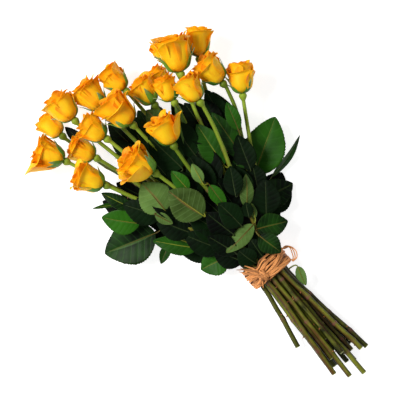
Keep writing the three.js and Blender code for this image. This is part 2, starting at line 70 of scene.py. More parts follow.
VIEW_WIDTH = 485 * MM
VIEW_HEIGHT_OF_PLANE = 50 * MM
VIEW_FROM_TIE = np.array([-9.8, 111.6]) * MM
LENS = 100
SENSOR = 36

camera_data = bpy.data.cameras.new("camera")
camera_data.lens = LENS
camera_data.sensor_width = SENSOR
camera_data.clip_start = 0.05
camera = bpy.data.objects.new("camera", camera_data)
view_distance = VIEW_WIDTH * LENS / SENSOR
camera.location = (*(tie[:2] + VIEW_FROM_TIE), VIEW_HEIGHT_OF_PLANE + view_distance)
camera.rotation_euler = (0, 0, math.radians(-40))
bpy.context.scene.collection.objects.link(camera)
bpy.context.scene.camera = camera


# ------------------------------------------------------------------------------------------------------
# Floor and light: a plain white light table, a wide soft light overhead and weaker ones from the sides,
# so that the shadows on the table stay faint and the inside of the bunch falls into deep shade.
# ------------------------------------------------------------------------------------------------------
def srgb(code):
    """A linear colour with alpha from a six-digit colour code."""
    parts = [int(code[k:k + 2], 16) / 255 for k in (1, 3, 5)]
    return [p / 12.92 if p <= 0.04045 else ((p + 0.055) / 1.055) ** 2.4 for p in parts] + [1.0]


def add_node(tree, kind, inputs=None, **settings):
    """Adds a node with its settings, and fills or links its inputs."""
    node = tree.nodes.new(kind)
    for key, value in settings.items():
        setattr(node, key, value)
    for key, value in (inputs or {}).items():
        if isinstance(value, bpy.types.NodeSocket):
            tree.links.new(value, node.inputs[key])
        else:
            node.inputs[key].default_value = value
    return node


def new_material(name, roughness, **sockets):
    """A material with its shader; sockets are given with _ for each space."""
    material = bpy.data.materials.new(name)
    material.use_nodes = True
    tree = material.node_tree
    shader = tree.nodes["Principled BSDF"]
    shader.inputs["Roughness"].default_value = roughness
    for key, value in sockets.items():
        shader.inputs[key.replace("_", " ")].default_value = value
    return material, tree, shader


FLOOR_SIZE = 30.0
FLOOR_GLOW = 0.8
floor_mesh = bpy.data.meshes.new("floor")
half = FLOOR_SIZE / 2
floor_corners = [(-half, -half, 0), (half, -half, 0), (half, half, 0), (-half, half, 0)]
floor_mesh.from_pydata(floor_corners, [], [(0, 1, 2, 3)])
floor = bpy.data.objects.new("floor", floor_mesh)
bpy.context.scene.collection.objects.link(floor)
floor_material, _, floor_shader = new_material("pale_table", 0.9, Specular_IOR_Level=0.1)
floor_shader.inputs["Base Color"].default_value = srgb("#C8C8C8")
floor_shader.inputs["Emission Color"].default_value = srgb("#FFFFFF")
floor_shader.inputs["Emission Strength"].default_value = FLOOR_GLOW
floor_mesh.materials.append(floor_material)


def area_light(name, place, target, size, power, colour):
    data = bpy.data.lights.new(name, "AREA")
    data.shape = "DISK"
    data.size = size
    data.energy = power
    data.color = colour
    light = bpy.data.objects.new(name, data)
    light.location = place
    light.rotation_euler = (Vector(target) - Vector(place)).to_track_quat("-Z", "Y").to_euler()
    bpy.context.scene.collection.objects.link(light)


area_light("overhead", (-0.75, 1.0, 1.7), (0, 0.05, 0), 0.8, 44, (1, 0.98, 0.95))
area_light("left", (-1.5, 0.3, 1.0), (0, 0.05, 0), 0.9, 5, (0.95, 0.98, 1))
area_light("right", (1.3, -0.3, 1.5), (0, 0.05, 0), 1.0, 3, (1, 1, 1))
world = bpy.data.worlds.new("studio")
world.use_nodes = True
world.node_tree.nodes["Background"].inputs["Color"].default_value = (1, 1, 1, 1)
world.node_tree.nodes["Background"].inputs["Strength"].default_value = 0.24
backdrop = add_node(world.node_tree, "ShaderNodeBackground", {"Color": (1, 1, 1, 1), "Strength": 1.0})
seen = add_node(world.node_tree, "ShaderNodeMixShader",
                {0: add_node(world.node_tree, "ShaderNodeLightPath").outputs["Is Camera Ray"],
                 1: world.node_tree.nodes["Background"].outputs["Background"],
                 2: backdrop.outputs["Background"]})
world.node_tree.links.new(seen.outputs["Shader"], world.node_tree.nodes["World Output"].inputs["Surface"])
bpy.context.scene.world = world
bpy.context.scene.view_settings.view_transform = "Standard"


# ------------------------------------------------------------------------------------------------------
# Reading the frame: a rose's stem and bloom are lofts of rings between two poles, and so is a leaflet
# from its tip. The ring centres give the paths and sizes that the detailed pieces follow.
# ------------------------------------------------------------------------------------------------------
STEM_SIDES = 7
BLOOM_SIDES = 10
WELD = 0.002 * MM


def welded(node):
    """A copy of a node's mesh with its loose triangles joined up."""
    mesh = bmesh.new()
    mesh.from_mesh(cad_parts[node].data)
    bmesh.ops.remove_doubles(mesh, verts=mesh.verts, dist=WELD)
    return mesh


def rings_from(pole, sides):
    """The rings of points that follow each other from a pole, as long as each has the full count."""
    seen = {pole.index}
    ring = [edge.other_vert(pole) for edge in pole.link_edges]
    rings = []
    while len(ring) == sides:
        rings.append(np.array([vert.co for vert in ring]))
        seen.update(vert.index for vert in ring)
        following = {}
        for vert in ring:
            for edge in vert.link_edges:
                other = edge.other_vert(vert)
                if other.index not in seen:
                    following[other.index] = other
        ring = list(following.values())
    return rings


def poles_of(mesh, sides):
    mesh.verts.ensure_lookup_table()
    mesh.verts.index_update()
    return [vert for vert in mesh.verts if len(vert.link_edges) == sides]


def unit(vector):
    return vector / np.linalg.norm(vector)


UP = np.array([0, 0, 1.0])
CUP_DIP = 0.86
RIM_RING = 5


def read_rose(number):
    name = f"rose_{number:02d}"
    stem_mesh = welded(name + "_stem")
    cut = min(poles_of(stem_mesh, STEM_SIDES), key=lambda vert: vert.co.y)
    rings = rings_from(cut, STEM_SIDES)
    centres = np.array([ring.mean(axis=0) for ring in rings])
    radii = np.array([np.linalg.norm(ring - centre, axis=1).mean() for ring, centre in zip(rings, centres)])
    stem_mesh.free()
    bloom_mesh = welded(name + "_bloom")
    poles = poles_of(bloom_mesh, BLOOM_SIDES)
    foot = min(poles, key=lambda vert: np.linalg.norm(np.array(vert.co) - centres[-1]))
    dip = [vert for vert in poles if vert is not foot][0]
    cup = rings_from(foot, BLOOM_SIDES)
    axis = np.array(dip.co - foot.co)
    rim = cup[RIM_RING]
    radius = np.linalg.norm(rim - rim.mean(axis=0), axis=1).max()
    rose = {
        "number": number,
        "centres": centres,
        "radii": radii,
        "foot": np.array(foot.co),
        "axis": unit(axis),
        "height": np.linalg.norm(axis) / CUP_DIP,
        "radius": radius,
    }
    rose["right"] = unit(np.cross(rose["axis"], UP))
    rose["top"] = np.cross(rose["right"], rose["axis"])
    bloom_mesh.free()
    return rose


roses = [read_rose(number) for number in range(1, 21)]


# ------------------------------------------------------------------------------------------------------
# Stems: green canes a pencil thick, swollen at their nodes, with a red-brown side low on the bunch and
# a smooth hip under the bloom. Each is a tube drawn along its path, and the prickles sit on its skin.
# ------------------------------------------------------------------------------------------------------
STEM_STEPS = 130
STEM_TUBE_SIDES = 14
HIP_STEPS = 14
HIP_RINGS = 4
NODE_GAP = (28 * MM, 46 * MM)
NODE_SWELL = 0.55 * MM
NODE_WIDTH = 2.2 * MM
NODE_BEND = 0.5 * MM


def smooth_path(points, steps):
    """Evenly spaced rows along a smooth path; columns after x, y and z are carried along."""
    points = np.asarray(points, float)
    gaps = np.linalg.norm(np.diff(points[:, :3], axis=0), axis=1)
    chord = np.concatenate([[0], np.cumsum(gaps)])
    if len(points) > 2:
        slopes = np.gradient(points, chord, axis=0)
    else:
        slopes = np.repeat(np.diff(points, axis=0) / gaps, 2, 0)
    at = np.linspace(0, chord[-1], steps)
    k = np.clip(np.searchsorted(chord, at, side="right") - 1, 0, len(points) - 2)
    span = (chord[k + 1] - chord[k])[:, None]
    t = (at - chord[k])[:, None] / span
    start = points[k] * (2 * t ** 3 - 3 * t ** 2 + 1) + slopes[k] * span * (t ** 3 - 2 * t ** 2 + t)
    end = points[k + 1] * (3 * t ** 2 - 2 * t ** 3) + slopes[k + 1] * span * (t ** 3 - t ** 2)
    return start + end


def tube_tree():
    """Geometry nodes that draw a tube, round or flat, along each path of a mesh of edges."""
    tree = bpy.data.node_groups.new("tube_along_path", "GeometryNodeTree")
    tree.interface.new_socket("Path", in_out="INPUT", socket_type="NodeSocketGeometry")
    for name, kind, value in (("Sides", "NodeSocketInt", 12), ("Flatness", "NodeSocketFloat", 1.0),
                              ("Finish", "NodeSocketMaterial", None)):
        socket = tree.interface.new_socket(name, in_out="INPUT", socket_type=kind)
        if value is not None:
            socket.default_value = value
    tree.interface.new_socket("Tube", in_out="OUTPUT", socket_type="NodeSocketGeometry")
    given = add_node(tree, "NodeGroupInput")
    girth = add_node(tree, "GeometryNodeInputNamedAttribute", {"Name": "girth"}, data_type="FLOAT")
    face = add_node(tree, "GeometryNodeInputNamedAttribute", {"Name": "face"}, data_type="FLOAT_VECTOR")
    curve = add_node(tree, "GeometryNodeMeshToCurve", {"Mesh": given.outputs["Path"]})
    turned = add_node(tree, "GeometryNodeSetCurveNormal", {"Curve": curve.outputs["Curve"]}, mode="FREE")
    tree.links.new(face.outputs["Attribute"], turned.inputs["Normal"])
    circle = add_node(tree, "GeometryNodeCurvePrimitiveCircle", {"Resolution": given.outputs["Sides"],
                                                                 "Radius": 1.0})
    flat = add_node(tree, "ShaderNodeCombineXYZ", {"X": given.outputs["Flatness"], "Y": 1.0, "Z": 1.0})
    profile = add_node(tree, "GeometryNodeTransform", {"Geometry": circle.outputs["Curve"],
                                                       "Scale": flat.outputs["Vector"]})
    index = add_node(tree, "GeometryNodeInputIndex")
    share = add_node(tree, "ShaderNodeMath", {0: index.outputs["Index"], 1: given.outputs["Sides"]},
                     operation="DIVIDE")
    marked = add_node(tree, "GeometryNodeStoreNamedAttribute",
                      {"Geometry": profile.outputs["Geometry"], "Name": "around", "Value": share.outputs[0]},
                      data_type="FLOAT", domain="POINT")
    tube = add_node(tree, "GeometryNodeCurveToMesh", {"Curve": turned.outputs["Curve"],
                                                      "Profile Curve": marked.outputs["Geometry"],
                                                      "Scale": girth.outputs["Attribute"],
                                                      "Fill Caps": True})
    smooth = add_node(tree, "GeometryNodeSetShadeSmooth", {"Geometry": tube.outputs["Mesh"]})
    real = add_node(tree, "GeometryNodeRealizeInstances", {"Geometry": smooth.outputs["Geometry"]})
    finished = add_node(tree, "GeometryNodeSetMaterial", {"Geometry": real.outputs["Geometry"],
                                                          "Material": given.outputs["Finish"]})
    add_node(tree, "NodeGroupOutput", {"Tube": finished.outputs["Geometry"]})
    return tree


def run_tree(name, mesh, tree, inputs):
    """Runs a geometry tree on a mesh and returns the result as a plain mesh object."""
    holder = bpy.data.objects.new(name + "_path", mesh)
    bpy.context.scene.collection.objects.link(holder)
    modifier = holder.modifiers.new("make", "NODES")
    modifier.node_group = tree
    sockets = {item.name: item.identifier for item in tree.interface.items_tree if item.in_out == "INPUT"}
    for key, value in inputs.items():
        modifier[sockets[key]] = value
    bpy.context.view_layer.update()
    graph = bpy.context.evaluated_depsgraph_get()
    made = bpy.data.meshes.new_from_object(holder.evaluated_get(graph))
    bpy.data.objects.remove(holder)
    piece = bpy.data.objects.new(name, made)
    made.name = name
    bpy.context.scene.collection.objects.link(piece)
    return piece


def paths_mesh(name, paths):
    """A mesh of edges; each path holds points, girth, face and along for each of its points."""
    mesh = bpy.data.meshes.new(name)
    starts = np.cumsum([0] + [len(path["points"]) for path in paths])
    edges = [(s + k, s + k + 1) for s, path in zip(starts, paths) for k in range(len(path["points"]) - 1)]
    mesh.from_pydata(np.concatenate([path["points"] for path in paths]).tolist(), edges, [])
    for key, kind in (("girth", "FLOAT"), ("along", "FLOAT"), ("tone", "FLOAT"), ("mark", "FLOAT"),
                      ("face", "FLOAT_VECTOR")):
        values = np.concatenate([np.asarray(path[key], np.float32) for path in paths])
        attribute = mesh.attributes.new(key, kind, "POINT")
        attribute.data.foreach_set("vector" if kind == "FLOAT_VECTOR" else "value", values.ravel())
    return mesh


def directions(points):
    """The direction of a path at each of its points."""
    slope = np.gradient(points, axis=0)
    return slope / np.linalg.norm(slope, axis=1)[:, None]


def round_path(points, girth, along=None, tone=0.5, mark=0.0):
    count = len(points)
    face = np.cross(directions(points), UP)
    return {
        "points": points,
        "girth": np.broadcast_to(girth, count),
        "along": np.linspace(0, 1, count) if along is None else along,
        "tone": np.full(count, tone),
        "mark": np.broadcast_to(mark, count),
        "face": face / np.linalg.norm(face, axis=1)[:, None],
    }


def attribute_value(tree, name):
    return add_node(tree, "ShaderNodeAttribute", attribute_name=name).outputs["Fac"]


def math_node(tree, operation, first, second=0.0, clamp=False):
    return add_node(tree, "ShaderNodeMath", {0: first, 1: second}, operation=operation,
                    use_clamp=clamp).outputs[0]


def blend_colour(tree, share, first, second, blend_type="MIX"):
    node = add_node(tree, "ShaderNodeMix", data_type="RGBA", blend_type=blend_type)
    for socket, value in ((node.inputs[0], share), (node.inputs[6], first), (node.inputs[7], second)):
        if isinstance(value, bpy.types.NodeSocket):
            tree.links.new(value, socket)
        else:
            socket.default_value = value
    return node.outputs[2]


def noise_value(tree, vector, scale, detail=3.0, roughness=0.55):
    return add_node(tree, "ShaderNodeTexNoise", {"Vector": vector, "Scale": scale, "Detail": detail,
                                                 "Roughness": roughness}).outputs["Fac"]


def spread(tree, value, low, high):
    """A value stretched so that low becomes 0 and high becomes 1."""
    return add_node(tree, "ShaderNodeMapRange", {"Value": value, "From Min": low, "From Max": high},
                    clamp=True).outputs["Result"]


def bump(tree, shader, height, strength, distance):
    node = add_node(tree, "ShaderNodeBump", {"Height": height, "Strength": strength, "Distance": distance})
    tree.links.new(node.outputs["Normal"], shader.inputs["Normal"])


def object_place(tree):
    return add_node(tree, "ShaderNodeTexCoord").outputs["Object"]


def stem_material():
    material, tree, shader = new_material("rose_stem", 0.45, Specular_IOR_Level=0.2)
    place = object_place(tree)
    along = attribute_value(tree, "along")
    around = attribute_value(tree, "around")
    tone = attribute_value(tree, "tone")
    fibres = add_node(tree, "ShaderNodeCombineXYZ", {"X": math_node(tree, "MULTIPLY", around, 30.0),
                                                     "Y": math_node(tree, "MULTIPLY", along, 26.0),
                                                     "Z": math_node(tree, "MULTIPLY", tone, 40.0)})
    fibre = noise_value(tree, fibres.outputs["Vector"], 1.0, 5.0)
    shade = math_node(tree, "ADD", math_node(tree, "MULTIPLY", noise_value(tree, place, 60), 0.8),
                      math_node(tree, "MULTIPLY", tone, 0.7))
    low = blend_colour(tree, spread(tree, shade, 0.35, 1.15), srgb("#202208"), srgb("#90962A"))
    # Painted highlight: pale streaks at random along the fibres of the lower canes, #BCB850.
    low = blend_colour(tree, math_node(tree, "MULTIPLY", spread(tree, fibre, 0.58, 0.72), 0.45), low,
                       srgb("#BCB850"))
    high = blend_colour(tree, tone, srgb("#566C12"), srgb("#93AC34"))
    green = blend_colour(tree, spread(tree, along, 0.6, 0.88), low, high)
    turn = math_node(tree, "SINE", math_node(tree, "ADD", math_node(tree, "MULTIPLY", around, math.tau),
                                             math_node(tree, "MULTIPLY", tone, 9.0)))
    patch = math_node(tree, "ADD", turn, math_node(tree, "MULTIPLY", noise_value(tree, place, 38), 2.2))
    red = spread(tree, patch, 1.0, 2.0)
    fade = spread(tree, along, 0.97, 0.55)
    redness = math_node(tree, "MULTIPLY", red, math_node(tree, "MULTIPLY", fade, 0.8))
    colour = blend_colour(tree, redness, green, srgb("#4E200C"))
    # Painted shade: the sides and underside of each cane, away from its top, are darkened towards #141A06,
    # strongest towards the cut end.
    height = math_node(tree, "SINE", math_node(tree, "MULTIPLY", around, -math.tau))
    painted_flank_shade = math_node(tree, "MULTIPLY", spread(tree, height, 0.92, 0.3),
                      math_node(tree, "MULTIPLY", fade, 0.8))
    colour = blend_colour(tree, painted_flank_shade, colour, srgb("#141A06"))
    # Painted shade: canes that lie low in the bunch, below 34 mm over the floor, are darkened towards
    # #10140A, strongest towards the cut end.
    level = add_node(tree, "ShaderNodeSeparateXYZ", {"Vector": place}).outputs["Z"]
    painted_shade = math_node(tree, "MULTIPLY", spread(tree, level, 34 * MM, 14 * MM),
                     math_node(tree, "MULTIPLY", fade, 0.88))
    colour = blend_colour(tree, painted_shade, colour, srgb("#10140A"))
    mark = math_node(tree, "MULTIPLY", attribute_value(tree, "mark"), spread(tree, fibre, 0.35, 0.55))
    colour = blend_colour(tree, mark, colour, srgb("#7A3A48"))
    colour = blend_colour(tree, spread(tree, along, 0.003, 0.0), colour, srgb("#B4BA84"))
    tree.links.new(colour, shader.inputs["Base Color"])
    bump(tree, shader, fibre, 0.35, 0.4 * MM)
    return material


tubes = tube_tree()
stem_finish = stem_material()
prickle_places = []


def stem_path(rose, seed):
    """The centre of a stem with its swellings, then of its hip, as one tube."""
    given = np.column_stack([rose["centres"], rose["radii"]])
    body = smooth_path(given[:len(given) - HIP_RINGS + 1], STEM_STEPS)
    hip = smooth_path(given[len(given) - HIP_RINGS:], HIP_STEPS)[1:]
    points = np.concatenate([body, hip])
    centre, girth = points[:, :3].copy(), points[:, 3] / math.cos(math.pi / 14)
    gaps = np.linalg.norm(np.diff(centre, axis=0), axis=1)
    travel = np.concatenate([[0], np.cumsum(gaps)])
    side = np.cross(directions(centre), UP)
    nodes = []
    mark = np.zeros(len(travel))
    at = seed.uniform(12 * MM, 40 * MM)
    turn = 1
    while at < travel[STEM_STEPS - 1] - 30 * MM:
        nodes.append(at)
        girth += NODE_SWELL * np.exp(-((travel - at) / NODE_WIDTH) ** 2)
        centre += turn * NODE_BEND * side * np.exp(-((travel - at) / (5 * NODE_WIDTH)) ** 2)[:, None]
        mark += seed.uniform(0.0, 0.9) * np.exp(-((travel - at) / (0.8 * NODE_WIDTH)) ** 2)
        turn = -turn
        at += seed.uniform(*NODE_GAP)
    return centre, girth, travel, nodes, np.clip(mark, 0, 1)


def add_prickles(centre, girth, travel, nodes, seed):
    """Notes where the prickles of a stem sit, which way they point and how big they are."""
    ways = directions(centre)
    for at in nodes:
        for _ in range(seed.integers(1, 3)):
            k = int(np.searchsorted(travel, at + seed.uniform(-9, 9) * MM))
            k = min(max(k, 2), STEM_STEPS - 12)
            angle = seed.uniform(-math.pi, math.pi)
            side = unit(np.cross(ways[k], UP))
            out = math.cos(angle) * side + math.sin(angle) * np.cross(side, ways[k])
            prickle_places.append((centre[k] + out * girth[k] * 0.93, unit(out - 0.35 * ways[k]),
                                   seed.uniform(0.7, 1.15)))


for rose in roses:
    seed = np.random.default_rng(300 + rose["number"])
    centre, girth, travel, nodes, mark = stem_path(rose, seed)
    add_prickles(centre, girth, travel, nodes, seed)
    path = round_path(centre, girth, travel / travel[-1], seed.uniform(0, 1), mark)
    number = rose["number"]
    piece = run_tree(f"stem_{number:02d}", paths_mesh(f"stem_{number:02d}", [path]), tubes,
                     {"Sides": STEM_TUBE_SIDES, "Flatness": 1.0, "Finish": stem_finish})
    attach(piece, "root")
    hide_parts(f"rose_{number:02d}_stem")

# ------------------------------------------------------------------------------------------------------
# Prickles: small hard hooks on the canes, red-brown, set near the nodes and leaning to the cut end.
# ------------------------------------------------------------------------------------------------------
PRICKLE_LENGTH = 2.6 * MM
PRICKLE_FOOT = 1.0 * MM


def prickle_tree():
    """Geometry nodes that set one small cone on each point, pointing along its out attribute."""
    tree = bpy.data.node_groups.new("prickles_on_canes", "GeometryNodeTree")
    tree.interface.new_socket("Places", in_out="INPUT", socket_type="NodeSocketGeometry")
    for name, kind in (("Length", "NodeSocketFloat"), ("Foot", "NodeSocketFloat"),
                       ("Finish", "NodeSocketMaterial")):
        tree.interface.new_socket(name, in_out="INPUT", socket_type=kind)
    tree.interface.new_socket("Prickles", in_out="OUTPUT", socket_type="NodeSocketGeometry")
    given = add_node(tree, "NodeGroupInput")
    out = add_node(tree, "GeometryNodeInputNamedAttribute", {"Name": "out"}, data_type="FLOAT_VECTOR")
    size = add_node(tree, "GeometryNodeInputNamedAttribute", {"Name": "size"}, data_type="FLOAT")
    cone = add_node(tree, "GeometryNodeMeshCone", {"Vertices": 7, "Side Segments": 4, "Radius Top": 0.0001,
                                                   "Radius Bottom": given.outputs["Foot"],
                                                   "Depth": given.outputs["Length"]})
    turn = add_node(tree, "FunctionNodeAlignRotationToVector", {"Vector": out.outputs["Attribute"]},
                    axis="Z")
    points = add_node(tree, "GeometryNodeMeshToPoints", {"Mesh": given.outputs["Places"]})
    placed = add_node(tree, "GeometryNodeInstanceOnPoints", {"Points": points.outputs["Points"],
                                                             "Instance": cone.outputs["Mesh"],
                                                             "Rotation": turn.outputs["Rotation"],
                                                             "Scale": size.outputs["Attribute"]})
    real = add_node(tree, "GeometryNodeRealizeInstances", {"Geometry": placed.outputs["Instances"]})
    smooth = add_node(tree, "GeometryNodeSetShadeSmooth", {"Geometry": real.outputs["Geometry"]})
    finished = add_node(tree, "GeometryNodeSetMaterial", {"Geometry": smooth.outputs["Geometry"],
                                                          "Material": given.outputs["Finish"]})
    add_node(tree, "NodeGroupOutput", {"Prickles": finished.outputs["Geometry"]})
    return tree


def prickle_material():
    material, tree, shader = new_material("prickle", 0.4)
    mottle = noise_value(tree, object_place(tree), 300)
    colour = blend_colour(tree, mottle, srgb("#7A3A24"), srgb("#A0683C"))
    tree.links.new(colour, shader.inputs["Base Color"])
    return material


prickle_mesh = bpy.data.meshes.new("prickle_places")
prickle_mesh.from_pydata([place.tolist() for place, _, _ in prickle_places], [], [])
prickle_out = prickle_mesh.attributes.new("out", "FLOAT_VECTOR", "POINT")
prickle_out.data.foreach_set("vector", np.array([out for _, out, _ in prickle_places], np.float32).ravel())
prickle_size = prickle_mesh.attributes.new("size", "FLOAT", "POINT")
prickle_size.data.foreach_set("value", np.array([size for _, _, size in prickle_places], np.float32))
prickles = run_tree("prickles", prickle_mesh, prickle_tree(),
                    {"Length": PRICKLE_LENGTH, "Foot": PRICKLE_FOOT, "Finish": prickle_material()})
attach(prickles, "root")

# ------------------------------------------------------------------------------------------------------
# Blooms: half-open heads of soft petals, five rows of them. The outer petals are broad and roll back at
# the rim to a point, and the inner ones are wound into each other round a tight heart.
# ------------------------------------------------------------------------------------------------------
PETAL_STEPS = 13
PETAL_COLUMNS = 11
PETAL_THICKNESS = 0.45 * MM
CORNER_TURN = 1.2
CUP_PARTS = [0, 0.03, 0.1, 0.24, 0.46, 0.74, 1.0]
CUP_SHARES = [0.16, 0.38, 0.63, 0.79, 0.87, 0.91, 0.93]

# Each row: number of petals, radius and height relative to the bloom, half angle, the share of the
# height that its shortest petals reach, where the roll starts, how far it rolls in radians, how far
# the edges stand off, and how much painted shade its colour gets.
PETAL_ROWS = [
    {"count": 4, "radius": 0.97, "height": 0.98, "half": 58, "low": 0.74, "start": 0.76,
     "roll": 1.6, "edge": 0.28, "painted_shade": 0.06},
    {"count": 4, "radius": 0.88, "height": 1.04, "half": 60, "low": 0.86, "start": 0.80,
     "roll": 1.4, "edge": 0.22, "painted_shade": 0.2},
    {"count": 4, "radius": 0.70, "height": 1.04, "half": 62, "low": 0.92, "start": 0.86,
     "roll": 0.9, "edge": 0.08, "painted_shade": 0.42},
    {"count": 4, "radius": 0.48, "height": 1.0, "half": 66, "low": 0.95, "start": 0.88,
     "roll": 0.6, "edge": 0.05, "painted_shade": 0.64},
    {"count": 3, "radius": 0.26, "height": 0.95, "half": 85, "low": 0.95, "start": 0.90,
     "roll": 0.3, "edge": 0.03, "painted_shade": 0.9},
]


def petal(rose, row, turn, seed, splay=0.0):
    """The grid of one petal, with its texture places and its painted shade."""
    size_up = rose["height"] * row["height"] * seed.uniform(row["low"], 1.04)
    size_out = rose["radius"] * row["radius"]
    along = np.linspace(0, 1, PETAL_STEPS)[:, None]
    across = np.linspace(-1, 1, PETAL_COLUMNS)[None, :]
    corner = seed.uniform(0.10, 0.30)
    peak = seed.uniform(0.0, 0.05) * np.exp(-((across - seed.uniform(-0.25, 0.25)) / 0.35) ** 2)
    t = along * (1 - corner * np.abs(across) ** seed.uniform(1.7, 3.2) + peak)
    half = math.radians(row["half"]) * seed.uniform(0.9, 1.08)
    width = half * (0.6 + 0.4 * np.sin(np.pi / 2 * np.clip(t / 0.55, 0, 1)))
    start = row["start"] + seed.uniform(-0.06, 0.04)
    roll = row["roll"] * seed.uniform(0.5, 1.35)
    lift = np.clip((t - start) / (1 - start), 0, None)
    side = seed.uniform(-0.5, 0.5)
    bend = roll * lift * (1 + side * across)
    bow = (1 - start) * size_up / max(roll, 0.2)
    out = np.interp(np.clip(t, 0, 1), CUP_PARTS, CUP_SHARES) * size_out
    up = np.minimum(t, start) * size_up
    out = out + bow * (1 - np.cos(bend))
    up = up + bow * np.sin(bend)
    curl = row["edge"] * rose["radius"] * np.clip((np.abs(across) - 0.6) / 0.4, 0, 1) ** 1.5
    out = out + curl * np.clip((t - 0.4) / 0.5, 0, 1.1) * (1 + CORNER_TURN * side * np.sign(across))
    out = out + 0.05 * rose["radius"] * across * np.clip(t / 0.3, 0, 1)
    phase = seed.uniform(0, 6.3, 4)
    wave = np.sin(2.4 * across + phase[0] + 2.4 * t) * 0.65 + np.sin(4.6 * across + phase[1] - 2 * t) * 0.35
    out = out + 0.10 * rose["radius"] * wave * np.clip((t - 0.2) / 0.5, 0, 1)
    up = up + 0.05 * rose["radius"] * np.sin(3.1 * across + phase[2]) * np.clip((t - 0.6) / 0.4, 0, 1)
    out = out + math.tan(splay) * up
    angle = turn + across * width + 0.04 * np.sin(4 * t + phase[3])
    ring = np.cos(angle)[..., None] * rose["right"] + np.sin(angle)[..., None] * rose["top"]
    points = rose["foot"] + ring * out[..., None] + rose["axis"] * up[..., None]
    rim = np.clip((t - start) / (1 - start), 0, 1)
    edge = np.clip((np.abs(across) - 0.6) / 0.4, 0, 1)
    # Painted shade: the colour turns deeper orange at the foot, in the dents of the waves, along the side
    # edges and on the inner rows; each petal also gets a random share of its own, and the rim a thin darker
    # line.
    shade = (row["painted_shade"] + seed.uniform(-0.06, 0.14) + 0.3 * (1 - np.clip(t / 0.3, 0, 1))
             + 0.42 * np.clip(-wave, 0, 1) + 0.3 * edge * (1 - rim) + 0.05 * rim
             + 0.1 * np.clip((along - 0.9) / 0.1, 0, 1))
    uv = np.stack([np.broadcast_to(across * 0.5 + 0.5, t.shape), t], axis=-1)
    return {"points": points, "uv": uv, "painted_shade": np.clip(shade, 0, 1)}


FLOOR_GAP = 0.5 * MM
SOFT_TOP = cad_box[1][2] + 5 * MM


def grids_mesh(name, grids, extra, materials):
    """One mesh from grids of points. Each grid has its uv, and the named extra value for each point.

    What would reach below the surface is pressed flat on it, and the very top is pressed a little."""
    points, faces, uvs, values = [], [], [], []
    start = 0
    for grid in grids:
        rows, columns = grid["points"].shape[:2]
        points.append(grid["points"].reshape(-1, 3))
        uvs.append(grid["uv"].reshape(-1, 2))
        values.append(grid[extra].ravel())
        corner = start + np.arange(rows * columns).reshape(rows, columns)
        quads = np.stack([corner[:-1, :-1], corner[:-1, 1:], corner[1:, 1:], corner[1:, :-1]], -1)
        faces.append(quads.reshape(-1, 4))
        start += rows * columns
    faces = np.concatenate(faces)
    mesh = bpy.data.meshes.new(name)
    points = np.concatenate(points)
    points[:, 2] = np.clip(points[:, 2], FLOOR_GAP, SOFT_TOP + 0.4 * np.maximum(points[:, 2] - SOFT_TOP, 0))
    mesh.from_pydata(points.tolist(), [], faces.tolist())
    layer = mesh.uv_layers.new(name="blade")
    layer.data.foreach_set("uv", np.concatenate(uvs)[faces.ravel()].astype(np.float32).ravel())
    attribute = mesh.attributes.new(extra, "FLOAT", "POINT")
    attribute.data.foreach_set("value", np.concatenate(values).astype(np.float32))
    mesh.polygons.foreach_set("use_smooth", [True] * len(mesh.polygons))
    for material in materials:
        mesh.materials.append(material)
    piece = bpy.data.objects.new(name, mesh)
    bpy.context.scene.collection.objects.link(piece)
    return piece


def thicken(piece, thickness, levels, underside=False):
    """Gives a sheet its thickness, then rounds it."""
    wall = piece.modifiers.new("wall", "SOLIDIFY")
    wall.thickness = thickness
    wall.offset = 0
    if underside:
        wall.material_offset = 1
    if levels:
        rounding = piece.modifiers.new("rounding", "SUBSURF")
        rounding.levels = levels
        rounding.render_levels = levels


def petal_material():
    material, tree, shader = new_material("rose_petal", 0.55, Specular_IOR_Level=0.22,
                                          Subsurface_Weight=0.25, Subsurface_Scale=2.5 * MM)
    shader.inputs["Subsurface Radius"].default_value = (1.0, 0.55, 0.08)
    uv = add_node(tree, "ShaderNodeUVMap", uv_map="blade").outputs["UV"]
    parts = add_node(tree, "ShaderNodeSeparateXYZ", {"Vector": uv})
    painted_shade = attribute_value(tree, "painted_shade")
    veins = add_node(tree, "ShaderNodeCombineXYZ",
                     {"X": math_node(tree, "MULTIPLY", parts.outputs["X"], 26.0),
                      "Y": math_node(tree, "MULTIPLY", parts.outputs["Y"], 3.0), "Z": painted_shade})
    streak = noise_value(tree, veins.outputs["Vector"], 1.0, 4.0)
    cloud = noise_value(tree, object_place(tree), 90, 2.0)
    # The painted shade turns the golden yellow towards deep orange; the cloud and the vein streaks vary it
    # at random.
    amount = math_node(tree, "ADD", math_node(tree, "MULTIPLY", painted_shade, 0.75),
                       math_node(tree, "MULTIPLY", spread(tree, cloud, 0.35, 0.75), 0.3))
    amount = math_node(tree, "ADD", amount,
                       math_node(tree, "MULTIPLY", spread(tree, streak, 0.45, 0.8), 0.16))
    light = blend_colour(tree, spread(tree, amount, 0.0, 0.5), srgb("#FFCC16"), srgb("#FFB00A"))
    colour = blend_colour(tree, spread(tree, amount, 0.45, 1.1), light, srgb("#E46A00"))
    base = spread(tree, parts.outputs["Y"], 0.2, 0.02)
    colour = blend_colour(tree, math_node(tree, "MULTIPLY", base, 0.5), colour, srgb("#C8B41E"))
    tree.links.new(colour, shader.inputs["Base Color"])
    bump(tree, shader, streak, 0.25, 0.3 * MM)
    return material


petal_finish = petal_material()
# Outer petals that have fallen open: turn about the axis in degrees, and how far they lean out.
OPEN_PETALS = {17: [(150, 0.5), (205, 0.35)], 18: [(200, 0.45)], 16: [(10, 0.3)]}

